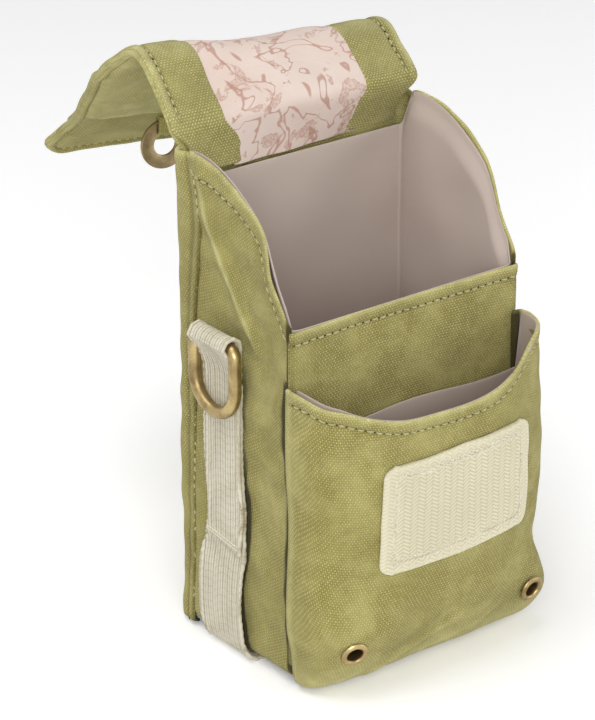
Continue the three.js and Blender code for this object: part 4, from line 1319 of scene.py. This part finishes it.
def make_belt_loop():
    low, high = node_box("belt_loop")
    flat, out = low[1] + WEB, high[1]
    foot, top = low[2], high[2]
    sewn, slope = 9.0, 6.0
    points = [(flat, foot), (flat, foot + sewn * 0.8), (flat + 0.6, foot + sewn + 1)]
    points += [(out - 0.8, foot + sewn + slope), (out, foot + sewn + slope + 5)]
    points += [(out + 0.1, (foot + top) / 2)] + [(y, foot + top - z) for y, z in points[::-1]]
    path = spline(points, 330)
    line = np.stack([np.zeros(len(path)), path[:, 0], path[:, 1]], 1)
    face, uv = webbing_face(line, np.array([-1.0, 0, 0]), 0, high[0] - low[0], 101)
    obj = slab("belt_strap", face, WEB, WEBBING, uv=uv)
    keep(obj, "pouch", "webbing", ["belt_loop"])
    declare_sheet(face)
    skin = Skin()
    half = (high[0] - low[0]) / 2 - 2.0
    for z0, z1 in ((foot + 1.5, foot + 7.0), (top - 7.0, top - 1.5)):
        corners = [(-half, z0), (half, z0), (half, z1), (-half, z1)]
        box_and_cross = corners + [corners[k] for k in (0, 2, 1, 3)]
        line = even(np.array(box_and_cross, float), 300)
        points = np.stack([line[:, 0], np.full(300, flat + 0.12), line[:, 1]], 1)
        stitches(skin, points, np.tile([0.0, 1.0, 0.0], (300, 1)), 2.4, 0.75, 0.26, seed=7)
    keep(skin.build("belt_strap_stitches", [ECRU_THREAD, HOLE_SHADE_PAINT]), "pouch", "webbing")


# ---- Flap

ROOT, CREST, TAB = (joint_place(name) for name in ("flap_root_fold", "flap_crest_fold", "tab_fold"))
ROOT_AXIS = np.array(joints["flap_root_fold"]["axis"])
FOLD = np.array(joints["flap_crest_fold"]["axis"])
TOP_WAY = unit(CREST - ROOT)
DOWN_WAY = unit(TAB - CREST)
TAB_BEND = -3.0
TOP_LENGTH = np.linalg.norm(CREST - ROOT)
DOWN_LENGTH = np.linalg.norm(TAB - CREST)
TAB_LENGTH = 29.0
FOLD_UP = np.cross(FOLD, DOWN_WAY)
TAB_WAY = DOWN_WAY * math.cos(math.radians(TAB_BEND)) + FOLD_UP * math.sin(math.radians(TAB_BEND))
TAPER_START, TAB_HALF, TAB_ROUND = 32.0, 29.5, 11.0
CREST_AT, TAB_AT = TOP_LENGTH, TOP_LENGTH + DOWN_LENGTH
TIP_AT = TAB_AT + TAB_LENGTH
TONGUE = 9.5
SKEW = math.tan(math.radians(5.0))


def flap_half(s):
    """Half the flap's width at a distance from its root."""
    share = np.clip((s - CREST_AT - TAPER_START) / (DOWN_LENGTH - TAPER_START), 0, 1)
    half = HALF - (HALF - TAB_HALF) * share
    into = np.clip(s - (TIP_AT - TAB_ROUND), 0, TAB_ROUND)
    half = half - (TAB_ROUND - np.sqrt(np.maximum(TAB_ROUND**2 - into**2, 0)))
    return half - 3.4 * smooth(0, -TONGUE, s)


def flap_plain(x, s):
    """Points on the flap's middle surface, at x across it and s along it."""
    x, s = np.broadcast_arrays(np.asarray(x, float), np.asarray(s, float))
    x3 = x[..., None]
    root = ROOT + FOLD * x3 + TOP_WAY * (x3 * SKEW)
    tongue = np.stack([root[..., 0], np.full(x.shape, BACK - 1.6), root[..., 2] - TONGUE], -1)
    crest = CREST + FOLD * x3
    tab = TAB + FOLD * x3
    tip = tab + TAB_WAY * TAB_LENGTH
    corners = [tongue, root, crest, tab, tip]
    places = [-TONGUE, 0.0, CREST_AT, TAB_AT, TIP_AT]
    reach = [0, 2.6, 10.0, 4.0, 0]

    def straight(at):
        out = np.zeros(x.shape + (3,))
        for k in range(4):
            low, high = places[k], places[k + 1]
            inside = (at >= low if k else at > -1e9) & (at < high if k < 3 else at < 1e9)
            share = ((at - low) / (high - low))[..., None]
            out = np.where(inside[..., None], corners[k] + (corners[k + 1] - corners[k]) * share, out)
        return out

    out = straight(s)
    for k in (1, 2, 3):
        d = reach[k]
        share = ((s - places[k] + d) / (2 * d))[..., None]
        before = straight(np.full(x.shape, places[k] - d))
        after = straight(np.full(x.shape, places[k] + d))
        curve = (1 - share) ** 2 * before + 2 * share * (1 - share) * corners[k] + share**2 * after
        out = np.where((share > 0) & (share < 1), curve, out)
    return out


def flap_unevenness(x, s):
    """How far the slack flap stands off its plain shape, towards its lining."""
    free = smooth(2, 14, s)
    uneven = 0.5 * waves(x, s, 34, 111) + 0.18 * waves(x, s, 13, 112)
    from_side = (x + HALF) / 7
    pucker = -0.3 * bell(np.hypot(from_side, (s - 54) / 2.2), 1) + 0.3 * bell(np.hypot(from_side, (s - 58) / 3), 1)
    puff = 1.3 * bell(np.hypot((x + 30) / 14, (s - CREST_AT) / 12), 1)
    lift = 2.0 * smooth(CREST_AT + 62, TIP_AT, s)
    return (uneven + pucker + puff) * free + lift


def flap_layer(x, s, offset):
    """Points at an offset from the flap's middle surface, positive towards its lining."""
    step = 0.05
    ahead = flap_plain(x, s + step) - flap_plain(x, s - step)
    across = flap_plain(x + step, s) - flap_plain(x - step, s)
    normal = unit(np.cross(across, ahead))
    lift = offset + flap_unevenness(x, s)
    return flap_plain(x, s) + normal * np.asarray(lift)[..., None]


HEM_ROLL = 3.0
SEWN_AT = HEM_ROLL + 0.25


def roll(edge):
    """The rounded hem along an edge, and the groove of its stitching."""
    return 0.55 * np.sqrt(np.clip(1 - ((edge - 1.5) / 1.5) ** 2, 0, 1)) - 0.5 * bell(edge - SEWN_AT, 0.6)


ZONES = [
    ("root", -TONGUE, CREST_AT * 0.5, 60),
    ("crest", CREST_AT * 0.5, CREST_AT + 43.0, 110),
    ("tab", CREST_AT + 43.0, TIP_AT, 130),
]


def bend_zone(obj, zone):
    """Bakes the placement of a piece of the flap into its mesh; the fold that it crosses is worked out but not used.
    """
    if zone == "root":
        out = unit(TOP_WAY - ROOT_AXIS * (TOP_WAY @ ROOT_AXIS))
        low, high = ROOT + np.array([0, 0.3, -4.0]), ROOT + out * 5.0
        low * MM
        high * MM
        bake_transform(obj)
    elif zone == "crest":
        (CREST - TOP_WAY * 9) * MM
        (CREST + DOWN_WAY * 9) * MM
        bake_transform(obj)
    else:
        (TAB - DOWN_WAY * 4) * MM
        (TAB + TAB_WAY * 4) * MM
        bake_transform(obj)


def file_flap(obj, zone, slot, nodes=()):
    bend_zone(obj, zone)
    keep(obj, None, slot, nodes)


def flap_stitches(skin, x, s, offset, *how, seed):
    """A row of stitches along a line on the flap, at an offset from its middle surface."""
    points = flap_layer(x, s, np.full(len(s), offset))
    middle = flap_layer(x, s, np.zeros(len(s)))
    stitches(skin, points, unit(points - middle), *how, seed=seed)


def make_flap():
    for zone, low, high, rows in ZONES:
        make_flap_canvas(zone, low, high, rows)
        make_flap_inner(zone, low, high, rows)
    make_overlay()
    make_tab_pad()
    make_pull_ring()


def make_flap_canvas(zone, low, high, rows):
    cols = 121
    s = np.linspace(low, high, rows)[:, None]
    half = flap_half(s)
    x = half * np.linspace(1, -1, cols)[None, :]
    edge = half - np.abs(x)
    tip = np.minimum(edge, TIP_AT - s) if zone == "tab" else edge
    offset = -1.0 - roll(tip) * smooth(-2, 4, s)
    face = flap_layer(x, s + 0 * x, offset)
    # Worn pale along the edge; painted shade in the stitch groove inside the hem.
    wear = 0.3 * bell(tip - 0.6, 0.8) - 0.5 * bell(tip - HEM_ROLL - 0.2, 0.5)
    wear = wear + 0.25 * bell(np.abs(s - CREST_AT), 6) * bell(tip, 9)
    thick = 1.0 + 1.3 * smooth(2.7, 1.7, tip) * smooth(0, 4, s) + np.maximum(roll(tip), 0) * 0.1
    obj = slab(f"flap_{zone}_outer", face, thick, CANVAS, uv=np.stack([x, s + 0 * x], 2), wear=wear)
    nodes = {"root": ["flap_top_canvas"], "crest": ["flap_front_canvas"], "tab": ["tab_canvas"]}
    file_flap(obj, zone, "canvas", nodes[zone])
    declare_sheet(face)
    skin = Skin()
    run = np.linspace(max(low, 1.0), min(high, TIP_AT - HEM_ROLL - 2), 120)
    for side, seed in ((-1, 20), (1, 21)):
        xs, ss = side * (flap_half(run) - SEWN_AT), run
        if zone == "tab":
            turn = np.radians(np.linspace(0, 90, 12))[1:]
            radius = TAB_ROUND - HEM_ROLL
            xs, arc_s = xs[run < TIP_AT - TAB_ROUND], run[run < TIP_AT - TAB_ROUND]
            xs = np.concatenate([xs, side * (TAB_HALF - TAB_ROUND + radius * np.cos(turn)), [0]])
            ss = np.concatenate([arc_s, TIP_AT - TAB_ROUND + radius * np.sin(turn), [TIP_AT - HEM_ROLL]])
            line = even(np.stack([xs, ss], 1), 240)
            xs, ss = line[:, 0], line[:, 1]
        flap_stitches(skin, xs, ss, -1.0 - roll(SEWN_AT), seed=seed)
    file_flap(skin.build(f"flap_{zone}_outer_stitches", [THREAD_PAINT, HOLE_SHADE_PAINT]), zone, "canvas")


FACING_WIDTH = 17.0


def make_flap_inner(zone, low, high, rows):
    """Facing bands along both edges with the printed lining between them, or the tab's own lining."""
    last = TAB_AT - 0.6 if zone == "tab" else high
    names = {"root": "flap_top", "crest": "flap_front", "tab": None}
    for side, name in ((-1, "left"), (1, "right")):
        s_band = np.linspace(low - (4.0 if zone == "root" else 0), last, rows)[:, None]
        half_band = flap_half(np.maximum(s_band, -TONGUE)) - 1.5 * smooth(0, -6, s_band)
        t = np.linspace(0, 1, 34)[None, :]
        from_edge = t * FACING_WIDTH
        x = side * (half_band - from_edge)
        offset = 1.3 + roll(from_edge) * smooth(-1, 5, s_band) + 0.12 * waves(x, s_band, 11, 121 + side)
        offset = offset - 0.35 * smooth(FACING_WIDTH - 2.4, FACING_WIDTH - 0.4, from_edge)
        face = flap_layer(x, s_band + 0 * x, offset)
        if side > 0:
            face, x = face[:, ::-1], x[:, ::-1]
        uv = np.stack([x, s_band + 0 * x], 2)
        # Worn pale along the edge; painted shade in the stitch groove inside the hem.
        wear = 0.35 * bell(from_edge - 0.8, 0.9) - 0.7 * bell(from_edge - HEM_ROLL - 0.2, 0.5) + 0 * x
        wear = wear + 0.2 * bell(np.abs(s_band - CREST_AT), 5)
        wear = wear[:, ::-1] if side > 0 else wear
        obj = slab(f"flap_{zone}_{name}_band", face, 1.0, FACING, uv=uv, wear=wear * smooth(-2, 6, s_band))
        file_flap(obj, zone, "canvas", [f"{names[zone]}_{name}_facing"] if names[zone] else [])
        declare_sheet(face)
        skin = Skin()
        run = np.linspace(max(low, 0.5), (TAB_AT - 1) if zone == "tab" else high, 110)
        flap_stitches(skin, side * (flap_half(run) - SEWN_AT), run, 1.3 + roll(SEWN_AT), seed=40 + side)
        file_flap(skin.build(f"flap_{zone}_{name}_band_stitches", [THREAD_PAINT, HOLE_SHADE_PAINT]), zone, "canvas")
    s_print = np.linspace(low - (5.0 if zone == "root" else 0), last, rows)[:, None]
    reach = flap_half(np.maximum(s_print, -TONGUE)) - FACING_WIDTH + 1.2
    x = reach * np.linspace(-1, 1, 81)[None, :]
    offset = 0.7 + 0.28 * waves(x, s_print, 16, 131) * smooth(0, 4, reach - np.abs(x)) + 0.35 * bell(x, 14)
    face = flap_layer(x, s_print + 0 * x, offset)
    obj = slab(f"flap_{zone}_print", face, LINING_THICK, PRINT, uv=np.stack([x, s_print + 0 * x], 2))
    file_flap(obj, zone, "print", [f"{names[zone]}_lining"] if names[zone] else [])
    declare_sheet(face)
    if zone == "tab":
        s_tab = np.linspace(TAB_AT - 1.5, TIP_AT - 0.8, 50)[:, None]
        half = flap_half(s_tab) - 0.4
        x = half * np.linspace(-1, 1, 91)[None, :]
        edge = np.minimum(half - np.abs(x), TIP_AT - 0.8 - s_tab)
        face = flap_layer(x, s_tab + 0 * x, 1.0 + 0.7 * roll(edge))
        uv = np.stack([x, s_tab + 0 * x], 2)
        obj = slab("flap_tab_inner", face, 0.6, CANVAS, uv=uv, wear=0.3 * bell(edge - 0.6, 0.8))
        file_flap(obj, zone, "canvas", ["tab_lining"])
        declare_sheet(face)


def make_overlay():
    """A second layer of canvas over the flap's outside, caught in the side hems."""
    rows, cols = 130, 111
    start, end, corner = CREST_AT + 8.0, CREST_AT + 74.9, 8.0
    s = np.linspace(start, end, rows)[:, None]
    into = np.clip(s - (end - corner), 0, corner)
    half = flap_half(s) - HEM_ROLL - 0.1 - (corner - np.sqrt(np.maximum(corner**2 - into**2, 0)))
    x = half * np.linspace(1, -1, cols)[None, :]
    low_edge = end - s
    edge = np.minimum(half - np.abs(x), low_edge)
    sewn = smooth(0, 2.2, half - np.abs(x))
    offset = -1.1 - 1.15 * (0.35 + 0.65 * sewn) - 0.3 * bell(low_edge - 0.8, 0.9) - 0.15 * waves(x, s, 17, 141)
    face = flap_layer(x, s + 0 * x, offset)
    wear = 0.25 + 0.6 * bell(low_edge, 0.9) + 0.1 * bell(edge, 1.2)
    obj = slab("flap_overlay_panel", face, 1.0, CANVAS, uv=np.stack([x, s + 0 * x], 2), wear=wear + 0 * x)
    keep(obj, "flap_lower", "canvas", ["flap_overlay"])
    declare_sheet(face)


def make_tab_pad():
    length, width, corner, inset = 19.0, 46.0, 6.0, 1.9
    rows, cols = 50, 90
    s0 = TIP_AT - 2.5 - length
    s, reach = rounded_rows(width / 2, s0, s0 + length, corner, rows)
    x = reach[:, None] * np.linspace(-1, 1, cols)[None, :]
    s = np.broadcast_to(s[:, None], x.shape)
    edge = np.minimum(np.minimum(s - s0, s0 + length - s), reach[:, None] - np.abs(x))
    rng = np.random.default_rng(9)
    pile = 0.12 * rng.normal(0, 1, x.shape) * smooth(1.6, 2.6, edge)
    face = flap_layer(x, s, 2.35 - 0.4 * bell(edge - inset, 0.7) + pile)
    obj = slab("tab_pile_pad", face, 1.2, PILE, uv=np.stack([x, s], 2))
    keep(obj, "flap_tab", "hook", ["tab_loop_pad"])
    declare_sheet(face)
    skin = Skin()
    loop = even(patch_loop(width / 2 - inset, s0 + inset, s0 + length - inset, 4.0), 420)
    flap_stitches(skin, loop[:, 0], loop[:, 1], 1.95, 2.2, 0.75, 0.24, seed=8)
    keep(skin.build("tab_pad_stitches", [ECRU_THREAD, HOLE_SHADE_PAINT]), "flap_tab", "hook")


def make_pull_ring():
    """A flat brass ring in a cloth keeper, which hangs from the overlay's lower edge."""
    centre = sum(node_box("pull_ring")) / 2
    down = unit(np.array([0, 0, -1.0]) - FOLD * (np.array([0, 0, -1.0]) @ FOLD))
    normal = np.cross(FOLD, down)
    outer, hole, half, edge = 8.2, 3.75, 0.6, 0.35
    inside = [(hole, half - edge), (hole + edge * 0.3, half - edge * 0.3), (hole + edge, half)]
    outside = [(outer - edge, half), (outer - edge * 0.3, half - edge * 0.3), (outer, half - edge)]
    upper = inside + outside
    profile = [(radius, -height) for radius, height in upper] + upper[::-1]
    skin = Skin()
    lathe(skin, profile, centre, normal, down, 72)
    obj = skin.build("pull_ring_brass", [BRONZED])
    obj.data.set_sharp_from_angle(angle=math.radians(40))
    keep(obj, "ring_pull", "brass", ["pull_ring"])
    reach, thick, width = 1.3, 0.4, 5.0
    top, bottom = outer + 0.3, hole - 0.55
    loop = []
    for cy, start in ((bottom + reach, 180), (top - 0.1, 0)):
        for a in np.radians(np.linspace(start, start + 180, 9)):
            loop.append((reach * math.cos(a), cy + (reach if cy < 5 else 1.0) * math.sin(a)))
    loop = even(np.array(loop + loop[:1]), 61)[:-1]
    rows = []
    for w in np.linspace(-width / 2, width / 2, 9):
        rows.append(centre + FOLD * w - down * loop[:, 1:2] + normal * loop[:, 0:1])
    face = np.array(rows)
    keep(slab("ring_keeper_tape", face, thick, CANVAS, wrap=True), "ring_pull", "canvas", ["ring_keeper"])


# ---- Floor, light and camera


def seen_directly(g):
    """1 for what the camera sees straight on, in a mirror or through glass."""
    path = g.tree.nodes.new("ShaderNodeLightPath")
    kinds = "Camera", "Glossy", "Transmission"
    camera, glossy, through = (Value(g, path.outputs[f"Is {kind} Ray"]) for kind in kinds)
    return g.math("ADD", camera + glossy, through, clamp=True)


def make_stage():
    """A pale floor that keeps the shadow, and an even white surrounding."""
    size, drop = 4000, -0.05
    skin = Skin()
    skin.add([(-size, -size, drop), (size, -size, drop), (size, size, drop), (-size, size, drop)], [(0, 1, 2, 3)])
    material, g, shader = new_material("floor")
    matt(g, shader, (0.97, 0.97, 0.97), None, 0.9, 0.0)
    g.put((1.0, 1.0, 1.0), shader["Emission Color"])
    g.put(seen_directly(g) * 0.18, shader["Emission Strength"])
    skin.build("floor", [material])
    world = bpy.data.worlds.new("studio")
    bpy.context.scene.world = world
    world.use_nodes = True
    g = Graph(world.node_tree)
    background = world.node_tree.nodes["Background"].inputs
    g.put((1.0, 1.0, 1.0), background["Color"])
    ambient = 0.33
    g.put(seen_directly(g) * (1 - ambient) + ambient, background["Strength"])


def lamp(name, place, target, size, power):
    """A round lamp that faces its target."""
    data = bpy.data.lights.new(name, "AREA")
    data.shape = "DISK"
    data.size = size
    data.energy = power
    obj = bpy.data.objects.new(name, data)
    bpy.context.scene.collection.objects.link(obj)
    obj.location = Vector(place)
    obj.rotation_mode = "QUATERNION"
    obj.rotation_quaternion = (Vector(target) - Vector(place)).to_track_quat("-Z", "Y")


def make_light():
    target = (0, 0, 0.08)
    lamp("key", (-0.75, -0.95, 0.62), target, 0.8, 9.0)
    lamp("fill", (0.9, -0.6, 0.45), target, 0.9, 3.8)
    lamp("top", (-0.35, 0.1, 1.2), target, 1.0, 7.5)


CAMERA_PLACE = (-525.33, -645.03, 454.91)
CAMERA_TURN, CAMERA_RISE = -38.145, 24.09
CAMERA_FOCUS = 3114.69
PICTURE_LONG = 720


def make_camera():
    """The pinhole camera that was fitted to the photo."""
    data = bpy.data.cameras.new("camera")
    data.sensor_width = 36
    data.lens = CAMERA_FOCUS * data.sensor_width / PICTURE_LONG
    data.clip_start, data.clip_end = 0.05, 20
    obj = bpy.data.objects.new("camera", data)
    bpy.context.scene.collection.objects.link(obj)
    a, e = math.radians(CAMERA_TURN), math.radians(CAMERA_RISE)
    back = Vector((math.sin(a) * math.cos(e), -math.cos(a) * math.cos(e), math.sin(e)))
    obj.location = Vector(CAMERA_PLACE) * MM
    obj.rotation_mode = "QUATERNION"
    obj.rotation_quaternion = (-back).to_track_quat("-Z", "Y")
    bpy.context.scene.camera = obj


make_camera()
make_stage()
make_light()
make_body()
make_pocket()
make_sling()
for turn, word in ((-1, "left"), (1, "right")):
    make_ring_loop(turn, word)
    make_d_ring(word)
make_belt_loop()
make_flap()

bpy.context.scene.view_settings.view_transform = "Standard"
